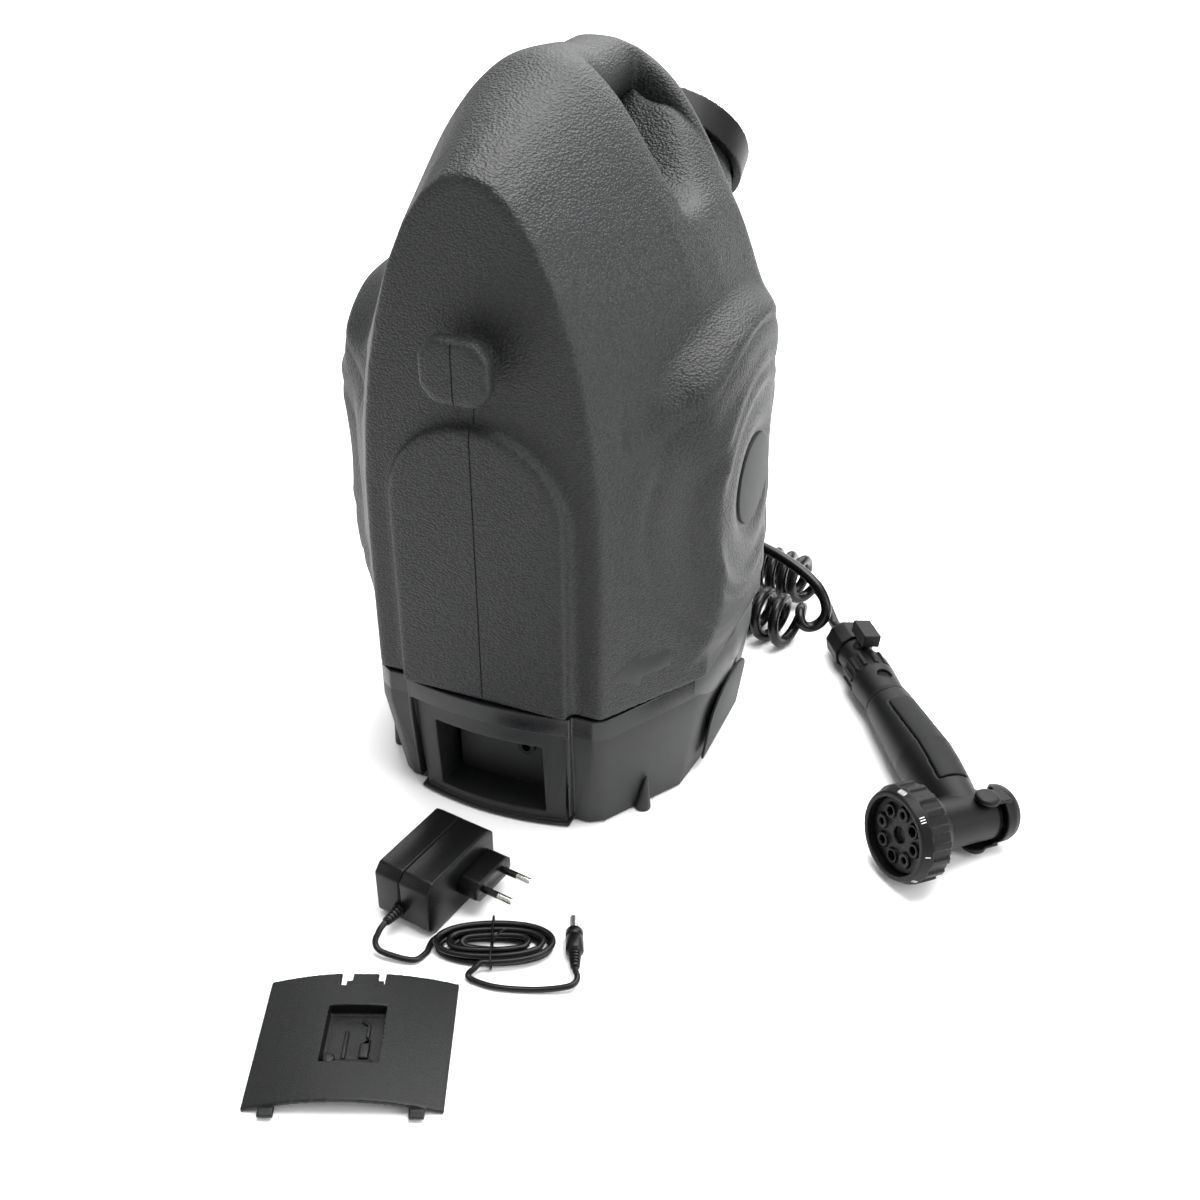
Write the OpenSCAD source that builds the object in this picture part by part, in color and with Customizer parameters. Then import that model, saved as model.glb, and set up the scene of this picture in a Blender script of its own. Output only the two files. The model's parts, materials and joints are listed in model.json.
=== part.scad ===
// Camp shower pump: a moulded water tank that locks on a pump base, with a
// curly hose and spray gun, a mains charger and the loose battery bay door.
// Frame: Z up, origin on the floor at the middle of the base, the battery bay
// at the -Y end and the photographed broad side at +X. Millimetres.

/* [Tank] */
// top of the tank above the floor
tank_top = 433; // [380:1:480]
// height of the seam between base and tank
seam_z = 86; // [70:1:110]
// half width of the broad middle of the tank
side_half_w = 112; // [95:1:130]
// half width of the narrow end panels
end_half_w = 71; // [55:1:85]
// top of the arched end panels
end_top = 393; // [350:1:420]
// half length over the end panels
half_len = 117; // [100:1:140]
// half length of the flat middle of the broad sides
flat_half = 53; // [30:1:70]
// wall of the moulded tank
tank_wall = 3; // [2:0.5:5]
// radius of the rippled disc on each broad side
disc_r = 122; // [90:1:130]
// radius of the round badge on each broad side
badge_r = 27.5; // [20:0.5:32]

/* [Handle] */
// middle of the hand hole along the tank
grip_y = 20; // [-10:1:30]
// length of the hand hole
grip_len = 66; // [60:1:110]
// floor of the hand hole
grip_floor = 356; // [340:1:370]
// radius of the handle bar
bar_r = 21; // [14:0.5:26]

/* [Filler] */
// tilt of the filler neck from upright
cap_tilt = 52; // [30:1:70]
// rim of the neck along the tank
neck_y = 172; // [130:1:190]
// rim of the neck above the floor
neck_z = 333; // [300:1:360]
// outside radius of the neck at its thread
neck_r = 43; // [30:0.5:46]
// height of the cap skirt
cap_h = 20; // [14:0.5:28]

/* [Base] */
// how far the base draws in toward the floor
base_taper = 9; // [4:0.5:16]
// wall of the base
base_wall = 3; // [2:0.5:5]
// half width of the battery bay mouth
bay_half_w = 35; // [28:1:42]
// depth of the battery bay
bay_depth = 58; // [45:1:64]
// sill of the battery bay
bay_sill = 9; // [7:0.5:14]
// top of the battery bay mouth
bay_top = 60; // [45:1:64]
// travel of the tank when it unlocks
unlock_travel = 22; // [16:1:26]

/* [Door] */
// width of the bay door
door_w = 100; // [86:1:101]
// height of the bay door
door_h = 82; // [60:1:90]

/* [Pump] */
// radius of the motor can
motor_r = 19; // [15:0.5:22]
// radius of the motor shaft
shaft_r = 2.5; // [1.5:0.1:4]
// radius of the pump head
head_r = 27; // [22:0.5:29]

/* [Hose] */
// diameter of the curly hose
hose_d = 7.5; // [5:0.1:8]
// radius of the curls at the middle of the tube
curl_r = 15.5; // [12:0.5:18]

/* [Gun] */
// radius of the spray dial
dial_r = 29; // [24:0.5:31]
// radius of the gun barrel
barrel_r = 15; // [13:0.5:15.5]
// length of the grip from the barrel to its ring
grip_end = 119; // [110:1:135]
// largest radius of the grip, at its swelling
grip_r = 19; // [16:0.5:19.5]

/* [Charger] */
// height of the charger as it lies
charger_h = 37; // [30:1:40]
// radius of the mains pins
pin_r = 2; // [1.5:0.1:2.5]
// length of the mains pins
pin_l = 19; // [15:0.5:22]
// distance between the mains pins
pin_gap = 18.6; // [17:0.1:19.5]
// diameter of the charger cord
cord_d = 3.4; // [2.5:0.1:3.6]

/* [Fits] */
// gap between parts that slide or turn on each other
slide_gap = 0.4; // [0.3:0.05:0.8]
// radial gap of a running shaft
run_gap = 0.05; // [0.02:0.01:0.1]
// gap where fixed parts sit in each other
seat_gap = 0.3; // [0.15:0.05:0.6]

/* [Hidden] */
$fn = 48;

// tank sections, as part of the half width against the drop from the top: over
// the hand hole, and on the shoulder in front of it
side_prof = [
  [1, 180], [0.965, 155], [0.92, 140], [0.857, 120],
  [0.777, 100], [0.63, 68], [0.44, 35], [0.25, 16], [0.1, 9], [0, 8]
];
near_prof = [
  [1, 200], [0.95, 162], [0.866, 131], [0.777, 108],
  [0.6875, 86], [0.59, 65], [0.473, 42], [0.32, 20], [0.17, 5], [0, 0]
];
shoulder_y = grip_y - grip_len / 2 - 16;
end_rise = 218;
tank_z0 = seam_z + 1.5;
tank_floor = seam_z + 19;
function arch_pts(a, rise, top, z0) = concat(
  [[-a, z0], [-a, top - rise]],
  [for (t = [170 : -10 : 10]) [a * cos(t), top - rise + rise * sin(t)]],
  [[a, top - rise], [a, z0]]
);
function ogive_pts(prof, a, top, z0) = let (h = spline(prof, 3)) concat(
  [[-a, z0]],
  [for (q = h) [-a * q[0], top - q[1]]],
  [for (i = [len(h) - 2 : -1 : 0]) [a * h[i][0], top - h[i][1]]],
  [[a, z0]]
);
module cross_slab(pts, y, th) {
  translate([0, y + th / 2, 0])
    rotate([90, 0, 0])
      linear_extrude(th)
        polygon(pts);
}
// narrow arches at the ends, the full section over the far half, flat sides below
module tank_form(d, z0) {
  hull() {
    cross_slab(arch_pts(end_half_w - d, end_rise, end_top - d, z0), -half_len + d + 0.5, 1);
    cross_slab(ogive_pts(near_prof, side_half_w - d, tank_top - d, z0), shoulder_y, 2);
    cross_slab(ogive_pts(side_prof, side_half_w - d, tank_top - d, z0), flat_half / 2 - 2, flat_half);
    translate([-side_half_w + d, -flat_half, z0])
      cube([2 * side_half_w - 2 * d, 2 * flat_half, seam_z + 146 - z0]);
    cross_slab(arch_pts(end_half_w - d, end_rise, end_top - d, z0), half_len - d - 0.5, 1);
  }
}

// rippled disc on a broad side
disc_z = 197;
disc_x = side_half_w + 5;
disc_top = 293;
function disc_plan(d) = [
  [46 - d, -half_len + 10 + 5 * d], [disc_x + 6 - d, -flat_half + 1], [disc_x + 2 - d, flat_half / 2],
  [side_half_w - 4 - d, flat_half + 2], [46 - d, flat_half + 4]
];
module side_disc(d) {
  translate([0, 0, disc_z])
    rotate([0, 90, 0])
      rotate_extrude($fn = 72)
        polygon([
          [0, 40], [disc_r - d, 40], [disc_r - d, disc_x - 20 - d], [disc_r - 7 - d, disc_x - 11 - d],
          [disc_r - 19, disc_x - 4 - d], [90, disc_x + 0.5 - d], [82, disc_x - 0.5 - d], [74, disc_x + 3 - d],
          [62, disc_x + 3.5 - d], [54, disc_x + 1 - d], [44, disc_x + 3 - d], [36, disc_x + 2.5 - d],
          [badge_r + 2, disc_x - d], [0, disc_x - d]
        ]);
}
module both_discs(d, z0) {
  intersection() {
    union() {
      side_disc(d);
      mirror([1, 0, 0]) side_disc(d);
    }
    translate([0, 0, z0])
      linear_extrude(disc_top - d - z0)
        polygon(concat(disc_plan(d), [for (i = [4 : -1 : 0]) [-disc_plan(d)[i][0], disc_plan(d)[i][1]]]));
  }
}

// hand hole under the bar
bar_z = tank_top - 5 - bar_r;
module grip_cut(d) {
  difference() {
    translate([0, grip_y + grip_len / 2 + d, 0])
      rotate([90, 0, 0])
        linear_extrude(grip_len + 2 * d)
          polygon([
            [-170, 470], [-170, grip_floor - 14 - d], [-90, grip_floor - 6 - d], [-30, grip_floor - d],
            [30, grip_floor - d], [90, grip_floor - 6 - d], [170, grip_floor - 14 - d], [170, 470]
          ]);
    if (d == 0)
      translate([0, -half_len, bar_z])
        rotate([-90, 0, 0])
          cylinder(r = bar_r, h = 2 * half_len);
  }
}

// filler neck frame, Z along the neck with 0 at its rim
module neck_frame() {
  translate([0, neck_y, neck_z])
    rotate([-cap_tilt, 0, 0])
      children();
}
neck_in = neck_r - 4;
cap_in = neck_r + slide_gap + 0.6;
cap_r = cap_in + 6;

// locking lugs of the base and their keyholes in the shoe
lug_x = end_half_w - 19;
lug_y = [57 - half_len, half_len - 55];
lug_at = [[-lug_x, lug_y[0]], [lug_x, lug_y[0]], [-lug_x, lug_y[1]], [lug_x, lug_y[1]]];
lug_w = 9;
lug_l = 14;
lug_head = 19;
lug_h = 13;
port_at = [-20, 45];

// base outline at the seam and at the floor
function plan_pts(ew, sw, fl, hl) = [
  [5 - ew, -hl], [ew - 5, -hl], [ew + 3, 5 - hl], [sw - 5, -fl], [sw, 0], [sw - 5, fl],
  [ew + 3, hl - 5], [ew - 5, hl], [5 - ew, hl], [-ew - 3, hl - 5],
  [-sw + 5, fl], [-sw, 0], [-sw + 5, -fl], [-ew - 3, 5 - hl]
];
foot_z = 0.8;
module plan_slab(d, z, th) {
  translate([0, 0, z])
    linear_extrude(th)
      polygon(plan_pts(end_half_w - d * 0.7, side_half_w - d, flat_half, half_len - d * 1.05));
}
module base_form(d, z0, z1) {
  hull() {
    plan_slab(d, z1 - 0.5, 0.5);
    plan_slab(d, z1 - 22, 0.5);
    plan_slab(base_taper + d, z0, 0.5);
  }
}
// the bay section stands out of the end wall, bowed in plan
bay_out = half_len + 9;
function bow_pts(w, y0, y1) = concat(
  [[-w, -70], [-w, -y0]],
  [for (i = [-4 : 4]) [w * i / 5, -y0 - (y1 - y0) * (1 - i * i / 25)]],
  [[w, -y0], [w, -70]]
);
module bay_form(d) {
  hull() {
    translate([0, 0, seam_z - 22]) linear_extrude(22) polygon(bow_pts(53 - d, half_len + 3 - d, bay_out - d));
    translate([0, 0, 34]) linear_extrude(1) polygon(bow_pts(52 - d, half_len + 1 - d, bay_out - 2 - d));
    translate([0, 0, foot_z]) linear_extrude(1) polygon(bow_pts(50 - d, half_len - 1 - d, bay_out - 3 - d));
  }
}

boss_x = [end_half_w - 19, side_half_w - 24, end_half_w - 13];
boss_y = [half_len - 27, -30, 25 - half_len];
boss_at = [for (i = [0 : 2]) for (s = [-1, 1]) [s * boss_x[i], boss_y[i]]];
screw_r = 1.6;

// pump layout
head_x = [-45, 2];
shaft_z = 40;
pump_y = 45;
out_x = -20;
out_wall_y = half_len - 0.5;
switch_x = 38;
switch_z = 44;

module tube(r, wall, h) {
  difference() {
    cylinder(r = r, h = h);
    translate([0, 0, -1]) cylinder(r = r - wall, h = h + 2);
  }
}
module along_y() { rotate([-90, 0, 0]) children(); }
module along_x() { rotate([0, 90, 0]) children(); }

// base
module base_housing() {
  color("#1b1c1e")
  difference() {
    union() {
      difference() {
        union() {
          base_form(0, foot_z, seam_z);
          bay_form(3);
          difference() {
            bay_form(0);
            translate([-door_w / 2 - slide_gap, -half_len - 40, 3])
              cube([door_w + 2 * slide_gap, 60, 3 + door_h - 15]);
          }
        }
        base_form(base_wall, foot_z - 1, seam_z - 4);
      }
      for (p = boss_at)
        translate([p[0], p[1], 3 + seat_gap]) cylinder(r = 5, h = seam_z - 5);
      translate([-bay_half_w - 2.5, -half_len + 2, 3 + seat_gap])
        cube([2 * bay_half_w + 5, bay_depth + 2.5, bay_top + 2]);
      for (p = lug_at)
        translate([p[0] - lug_w / 2, p[1] - lug_l / 2, seam_z - 1]) cube([lug_w, lug_l, lug_h + 1]);
      for (p = lug_at)
        translate([p[0] - lug_head / 2, p[1] - lug_l / 2, seam_z + lug_h - 4]) cube([lug_head, lug_l, 4]);
    }
    translate([-bay_half_w, -half_len - 30, bay_sill])
      cube([2 * bay_half_w, bay_depth + 30, bay_top - bay_sill]);
    for (p = boss_at)
      translate([p[0], p[1], 0]) cylinder(r = screw_r + run_gap, h = 22);
    translate([port_at[0], port_at[1], seam_z - 10]) cylinder(r = 9 + seat_gap, h = 20);
    translate([port_at[0], port_at[1], seam_z - 1.6]) cylinder(r = 16 + seat_gap, h = 5);
    translate([out_x, 60, shaft_z]) along_y() cylinder(r = 11 + seat_gap, h = 80);
    translate([switch_x - 12 - seat_gap, 90, switch_z - 8 - seat_gap])
      cube([24 + 2 * seat_gap, 60, 16 + 2 * seat_gap]);
  }
}
module bottom_plate() {
  color("#141516")
  difference() {
    linear_extrude(3)
      polygon(plan_pts(end_half_w - base_taper * 0.7 - 5, side_half_w - base_taper - 5,
        flat_half, half_len - base_taper * 1.05 - 5));
    for (p = boss_at) translate([p[0], p[1], -1]) cylinder(r = screw_r + seat_gap, h = 6);
    for (p = boss_at) translate([p[0], p[1], -1]) cylinder(r = 3.5 + seat_gap, h = 2.6);
  }
}
module base_screws() {
  color("#77787a")
  for (p = boss_at)
    translate([p[0], p[1], 0]) {
      translate([0, 0, 0.4]) cylinder(r = 3.5, h = 1.2);
      translate([0, 0, 1]) cylinder(r = screw_r, h = 18);
    }
}
badge_tilt = atan((base_taper + 0) / (seam_z - 22));
module base_badges() {
  color("#202124")
  for (s = [-1, 1])
    scale([s, 1, 1])
      translate([side_half_w - 3.8, 1, 36])
        rotate([0, badge_tilt, 0])
          along_x()
            linear_extrude(1.6)
              polygon(concat(
                [[28, -33], [28, 33]],
                [for (t = [90 : -15 : -90]) [-2 - 20 * cos(t), 33 * sin(t)]]
              ));
}
module bay_contacts() {
  color("#b08d3c")
  for (x = [-12, 12])
    translate([x - 3, -half_len + bay_depth - 1.2, 24]) cube([6, 0.9, 14]);
}
module battery_pack() {
  color("#22303c")
  translate([-31, -half_len + 20, bay_sill + seat_gap])
    cube([62, bay_depth - 21.6, 42]);
}
jack_at = [18, -half_len + 20, 45];
module dc_socket() {
  color("#0e0e0f")
  translate(jack_at)
    rotate([90, 0, 0])
      difference() {
        translate([0, 0, 0.01]) cylinder(r = 5.5, h = 9);
        translate([0, 0, 1.5]) cylinder(r = 2.8, h = 20);
      }
}
module charge_board() {
  color("#20503a")
  translate([-28, -half_len + bay_depth + 4.5 + seat_gap, 16]) {
    cube([56, 1.6, 42]);
    translate([6, 1.6, 8]) cube([14, 9, 18]);
    translate([30, 1.6, 10]) cube([12, 6, 12]);
  }
}
module pump_bracket() {
  color("#3c3f42")
  difference() {
    union() {
      translate([-60, pump_y - 30, 11]) cube([128, 60, 2.5]);
      translate([20, pump_y - 22, 13]) cube([12, 44, 21]);
      translate([46, pump_y - 22, 13]) cube([12, 44, 21]);
    }
    translate([0, pump_y, shaft_z]) along_x() cylinder(r = motor_r + seat_gap, h = 90);
  }
}
module motor_mounts() {
  color("#161616")
  for (x = [-52, 60])
    for (y = [-22, 22])
      translate([x, pump_y + y, 3 + seat_gap]) cylinder(r = 6, h = 8 - 2 * seat_gap);
}
module pump_motor() {
  color("#8f9296")
  translate([head_x[1] + seat_gap, pump_y, shaft_z])
    along_x()
      difference() {
        cylinder(r = motor_r, h = 62);
        translate([0, 0, 4]) cylinder(r = motor_r - 2, h = 54);
        translate([0, 0, -1]) cylinder(r = shaft_r + run_gap, h = 64);
      }
}
module pump_head() {
  color("#1a1b1c")
  translate([head_x[0], pump_y, shaft_z]) {
    difference() {
      union() {
        along_x() cylinder(r = head_r - 1, h = head_x[1] - head_x[0]);
        translate([out_x - head_x[0], 0, 0]) along_y() cylinder(r = 7, h = head_r + 6);
        translate([port_at[0] - head_x[0], 0, 0]) cylinder(r = 7, h = head_r + 5);
      }
      translate([-1, 0, 0]) along_x() cylinder(r = head_r - 5, h = head_x[1] - head_x[0] - 4);
      along_x() cylinder(r = shaft_r + run_gap, h = 60);
      translate([out_x - head_x[0], 0, 0]) along_y() cylinder(r = 4, h = head_r + 9);
      translate([port_at[0] - head_x[0], 0, 0]) cylinder(r = 4, h = head_r + 9);
    }
  }
}
module head_cover() {
  color("#26282a")
  translate([head_x[0] - seat_gap, pump_y, shaft_z])
    rotate([0, -90, 0])
      difference() {
        cylinder(r = head_r - 1, h = 5);
        translate([0, 0, -1]) cylinder(r = shaft_r + run_gap, h = 4);
      }
}
module drive_shaft() {
  color("#b9bcc0")
  translate([head_x[0] + 1, pump_y, shaft_z])
    along_x() {
      cylinder(r = shaft_r, h = 100);
      translate([2, 0, 12]) cylinder(r = 9, h = 10);
      translate([0, 0, head_x[1] - head_x[0] + 6]) cylinder(r = motor_r - 5, h = 46);
    }
}
module inlet_pipe() {
  color("#3a3d40")
  translate([port_at[0], port_at[1], shaft_z + head_r + 5 + seat_gap])
    tube(7, 2.5, seam_z - 4 - seat_gap - shaft_z - head_r - 5);
}
module outlet_pipe() {
  color("#3a3d40")
  translate([out_x, pump_y + head_r + 6 + seat_gap, shaft_z])
    along_y() tube(7, 2.5, out_wall_y - 14 - pump_y - head_r - 6);
}
module hose_outlet() {
  color("#17181a")
  translate([out_x, out_wall_y - 12, shaft_z])
    along_y()
      difference() {
        union() {
          cylinder(r = 11, h = 16);
          translate([0, 0, 12]) cylinder(r = 16, h = 4);
          cylinder(r = 8.5, h = 26);
        }
        translate([0, 0, -1]) cylinder(r = 4.5, h = 40);
      }
}
nut_y = out_wall_y + 4 + seat_gap;
module outlet_nut() {
  color("#1d1e20")
  translate([out_x, nut_y, shaft_z])
    along_y()
      difference() {
        union() {
          cylinder(r = 13, h = 14, $fn = 12);
          cylinder(r = 8, h = 20);
        }
        translate([0, 0, -1]) cylinder(r = 8.5 + run_gap, h = 11.4);
        cylinder(r = hose_d / 2 + seat_gap, h = 30);
      }
}
module switch_bezel() {
  color("#101112")
  translate([switch_x, out_wall_y - 12, switch_z])
    difference() {
      union() {
        translate([-12, 0, -8]) cube([24, 16, 16]);
        translate([-15, 12, -11]) cube([30, 4, 22]);
      }
      translate([-9, 6, -6]) cube([18, 12, 12]);
    }
}
rocker_y = out_wall_y + 3;
module power_rocker() {
  color("#2c2d30")
  translate([switch_x, rocker_y, switch_z])
    intersection() {
      along_x() translate([0, 0, -9 + slide_gap]) cylinder(r = 5.4, h = 18 - 2 * slide_gap);
      translate([-20, -3, -10]) cube([40, 20, 20]);
    }
}
module port_seal() {
  color("#101010")
  translate([port_at[0], port_at[1], seam_z - 1.6])
    tube(16, 6.5, tank_z0 + 0.5 - seam_z + 1.6 - slide_gap);
}

// tank
cleat_z = 299;
module tank_shell() {
  color("#26282a")
  difference() {
    union() {
      tank_form(0, tank_z0);
      both_discs(0, tank_z0);
      translate([0, -half_len + 2, 0])
        rotate([90, 0, 0])
          linear_extrude(9.5)
            polygon(concat([[-53, tank_z0], [53, tank_z0]],
              [for (t = [0 : 10 : 180]) [53 * cos(t), 210 + 52 * sin(t)]]));
      translate([0, -half_len + 4, cleat_z])
        rotate([90, 0, 0]) cylinder(r = 11, h = 20);
      translate([0, -half_len - 12, cleat_z])
        rotate([90, 0, 0])
          linear_extrude(10)
            polygon([[-20, -9], [-13, -18], [13, -18], [20, -9], [20, 9], [13, 18], [-13, 18], [-20, 9]]);
      neck_frame() translate([0, 0, -95]) cylinder(r1 = 56, r2 = neck_r + 3, h = 95 - cap_h);
      neck_frame() translate([0, 0, -95]) cylinder(r = neck_r, h = 95);
    }
    difference() {
      union() {
        tank_form(tank_wall, tank_floor);
        both_discs(tank_wall, tank_floor);
      }
      grip_cut(tank_wall);
    }
    grip_cut(0);
    neck_frame() translate([0, 0, -110]) cylinder(r = neck_in, h = 130);
    intersection() {
      tank_form(tank_wall + 0.5, tank_z0 - 10);
      translate([-200, -200, 0]) cube([400, 400, tank_floor - 4]);
    }
    translate([port_at[0], port_at[1], tank_floor - 10]) cylinder(r = 9 + seat_gap, h = 20);
  }
}
shoe_z = tank_z0 + 0.5;
shoe_h = tank_floor - 4 - shoe_z - seat_gap;
key_l = lug_l + unlock_travel + 2 * slide_gap;
module tank_shoe() {
  color("#1c1d1f")
  difference() {
    translate([0, 0, shoe_z])
      linear_extrude(shoe_h)
        polygon(plan_pts(end_half_w - 12, side_half_w - 12, flat_half - 6, half_len - 12));
    for (p = lug_at)
      translate([p[0] - lug_w / 2 - slide_gap, p[1] - lug_l / 2 - slide_gap - unlock_travel, shoe_z - 1])
        cube([lug_w + 2 * slide_gap, key_l, shoe_h + 0.1]);
    for (p = lug_at)
      translate([p[0] - lug_head / 2 - slide_gap, p[1] - lug_l / 2 - slide_gap - unlock_travel,
        seam_z + lug_h - 4 - slide_gap])
        cube([lug_head + 2 * slide_gap, key_l, 30]);
    for (p = lug_at)
      translate([p[0] - lug_head / 2 - slide_gap, p[1] - lug_l / 2 - slide_gap - unlock_travel, shoe_z - 1])
        cube([lug_head + 2 * slide_gap, lug_l + 2 * slide_gap, 30]);
    translate([port_at[0], port_at[1], shoe_z - 1]) cylinder(r = 16 + seat_gap, h = 30);
    for (x = [-30, 30])
      translate([x, 0, shoe_z - 1]) cylinder(r = screw_r + seat_gap, h = 30);
  }
}
module shoe_screws() {
  color("#77787a")
  for (x = [-30, 30])
    translate([x, 0, shoe_z + 1]) cylinder(r = screw_r, h = shoe_h - 1.5);
}
module tank_port() {
  color("#101112")
  translate([port_at[0], port_at[1], shoe_z])
    difference() {
      union() {
        cylinder(r = 16, h = shoe_h);
        cylinder(r = 9, h = shoe_h + 6);
      }
      translate([0, 0, -1]) cylinder(r = 6, h = 40);
    }
}
module port_screen() {
  color("#a9adb2")
  translate([port_at[0], port_at[1], tank_floor + seat_gap])
    difference() {
      cylinder(r = 14, h = 14);
      translate([0, 0, -1]) cylinder(r = 13, h = 13.5);
    }
}
module tank_badges() {
  color("#3a3d40")
  for (s = [0, 1])
    mirror([s, 0, 0])
      translate([disc_x + 0.05, 0, disc_z])
        along_x() cylinder(r1 = badge_r, r2 = badge_r - 0.8, h = 1.6);
}
module filler_cap() {
  color("#18191b")
  neck_frame()
    difference() {
      translate([0, 0, 5 - cap_h]) cylinder(r = cap_r, h = cap_h, $fn = 72);
      translate([0, 0, -cap_h]) cylinder(r = cap_in, h = cap_h + 2);
    }
}
module cap_gasket() {
  color("#0d0d0d")
  neck_frame() translate([0, 0, 0.05]) tube(neck_r - 0.5, 4, 1.9);
}

// one spline through hand chosen points, then a tube of rings carried along it
function spline_at(p, i, t) =
  let (a = p[max(i - 1, 0)], b = p[i], c = p[i + 1], d = p[min(i + 2, len(p) - 1)])
  b + (c - a) * t / 2 + (2 * a - 5 * b + 4 * c - d) * t * t / 2 + (3 * b - a - 3 * c + d) * t * t * t / 2;
function spline(p, n) = concat(
  [for (i = [0 : len(p) - 2]) for (k = [0 : n - 1]) spline_at(p, i, k / n)],
  [p[len(p) - 1]]
);
function unit(v) = v / norm(v);
function tangent(p, i) = unit(p[min(i + 1, len(p) - 1)] - p[max(i - 1, 0)]);
function carry(p, i, n) = let (t = tangent(p, i), m = n - t * (t * n)) unit(m);
function frames(p) = [
  for (i = 0, n = carry(p, 0, [0.1, 0.2, 1]); i < len(p); i = i + 1,
    n = i < len(p) ? carry(p, i, n) : n) n
];
module sweep(p, d, sides) {
  f = frames(p);
  pts = [for (i = [0 : len(p) - 1]) for (k = [0 : sides - 1])
    p[i] + d / 2 * (cos(360 * k / sides) * f[i] + sin(360 * k / sides) * cross(tangent(p, i), f[i]))];
  last = (len(p) - 1) * sides;
  polyhedron(pts, concat(
    [[for (k = [0 : sides - 1]) k]],
    [for (i = [0 : sides : last - 1]) for (k = [0 : sides - 1])
      let (a = i + k, b = i + (k + 1) % sides) [a, a + sides, b]],
    [for (i = [0 : sides : last - 1]) for (k = [0 : sides - 1])
      let (a = i + k, b = i + (k + 1) % sides) [b, a + sides, b + sides]],
    [[for (k = [sides - 1 : -1 : 0]) last + k]]
  ));
}
function next(p, i) = p[min(i + 1, len(p) - 1)];
function run_len(p) = [for (i = 0, s = 0; i < len(p);
  s = s + norm(next(p, i) - p[min(i, len(p) - 1)]), i = i + 1) s];
// least gap between stretches of a tube that lie over three diameters apart along it
function self_gap(p, d) = let (s = run_len(p)) min([
  for (i = [0 : len(p) - 1]) for (j = [i + 1 : len(p) - 1]) if (s[j] - s[i] > 3 * d) norm(p[i] - p[j])
]) - d;

// hose: over from the outlet, near row, turn behind the tank, far row to the gun
gun_j = [271, -43.5, 23.7];
gun_fwd = unit([-0.635, -0.756, 0.15]);
gun_down = unit([-0.565, 0.825, -0.045]);
gun_side = unit(cross(gun_fwd, gun_down));
gun_up = cross(gun_fwd, gun_side);
grip_lean = acos(gun_fwd * gun_down) - 90;
ring_end = grip_end + 4;
joint_end = ring_end + 25;
collar_end = joint_end + 19;
valve_end = collar_end + 18;
nut_l = [valve_end, valve_end + 28];
nut_end = gun_j + nut_l[1] * gun_down;
curl_z = curl_r + hose_d / 2 + 0.2;
hose_start = [out_x, nut_y + 12, shaft_z];
hose_way = spline([
  hose_start, hose_start + [0, 10, 0], [-8, 157, 46], [24, 158, 58], [64, 152, 62], [100, 144, 58],
  [130, 133, 48], [141, 124, 32], [131, 121, curl_z], [112, 123, curl_z], [90, 129, curl_z],
  [66, 139.5, curl_z], [44, 145, curl_z], [22, 155, curl_z], [14, 172, curl_z], [28, 184, curl_z],
  [56, 184, curl_z], [86, 183, curl_z], [110, 178, curl_z], [126, 167, curl_z],
  nut_end + 16 * gun_down, nut_end + 5 * gun_down, nut_end - 8 * gun_down
], 24);
way_len = run_len(hose_way);
// the two rows of curls, by the way points where they start and end
rows = [[way_len[24 * 8], way_len[24 * 12]], [way_len[24 * 15 + 14], way_len[24 * 18 + 14]]];
function ease(t) = let (u = min(max(t, 0), 1)) u * u * (3 - 2 * u);
function curl_pitch(s) = s < rows[1][0] - 9 ? 13.5 : 10.2;
function curl_amp(s) = curl_r * max([for (r = rows) ease((s - r[0]) / 14) * ease((r[1] - s) / 14)]);
way_key = [for (i = [0 : len(hose_way) - 1]) [way_len[i], i]];
function way_pt(s) = let (v = lookup(s, way_key), i = min(floor(v), len(hose_way) - 2))
  hose_way[i] + (hose_way[i + 1] - hose_way[i]) * (v - i);
function way_dir(s) = unit(way_pt(min(s + 2, way_len[len(way_len) - 1])) - way_pt(max(s - 2, 0)));
// steps of arc length: an eighth of a curl where it curls, longer where it runs free
function in_curl(s) = max([for (r = rows) s > r[0] - 2 && s < r[1] ? 1 : 0]) > 0;
hose_steps = [for (s = 0, a = 0; s < way_len[len(way_len) - 1];
  a = a + (in_curl(s) ? 45 : 0), s = s + (in_curl(s) ? curl_pitch(s) / 8 : 9)) [s, a]];
hose_line = concat(
  [for (q = hose_steps) let (t = way_dir(q[0]), n = unit(cross([0, 0, 1], t)), b = cross(t, n))
    way_pt(q[0]) + curl_amp(q[0]) * (cos(q[1]) * n + sin(q[1]) * b)],
  [hose_way[len(hose_way) - 1]]
);
module hose() {
  color("#0c0c0d") sweep(hose_line, hose_d, 6);
}

// gun frame: X out of the dial, Z up the gun, the grip leaning back
module gun_frame() {
  multmatrix([
    [gun_fwd[0], gun_side[0], gun_up[0], gun_j[0]],
    [gun_fwd[1], gun_side[1], gun_up[1], gun_j[1]],
    [gun_fwd[2], gun_side[2], gun_up[2], gun_j[2]],
    [0, 0, 0, 1]
  ]) children();
}
module grip_frame() {
  gun_frame() rotate([0, 180 + grip_lean, 0]) children();
}
module hose_nut() {
  color("#151617")
  grip_frame()
    translate([0, 0, nut_l[0] + seat_gap])
      difference() {
        union() {
          cylinder(r = 14, h = 20, $fn = 10);
          translate([0, 0, 20]) cylinder(r1 = 12, r2 = 8, h = 9 - seat_gap);
        }
        translate([0, 0, -1]) cylinder(r = hose_d / 2 + seat_gap, h = 40);
      }
}
valve_at = collar_end + 8;
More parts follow.
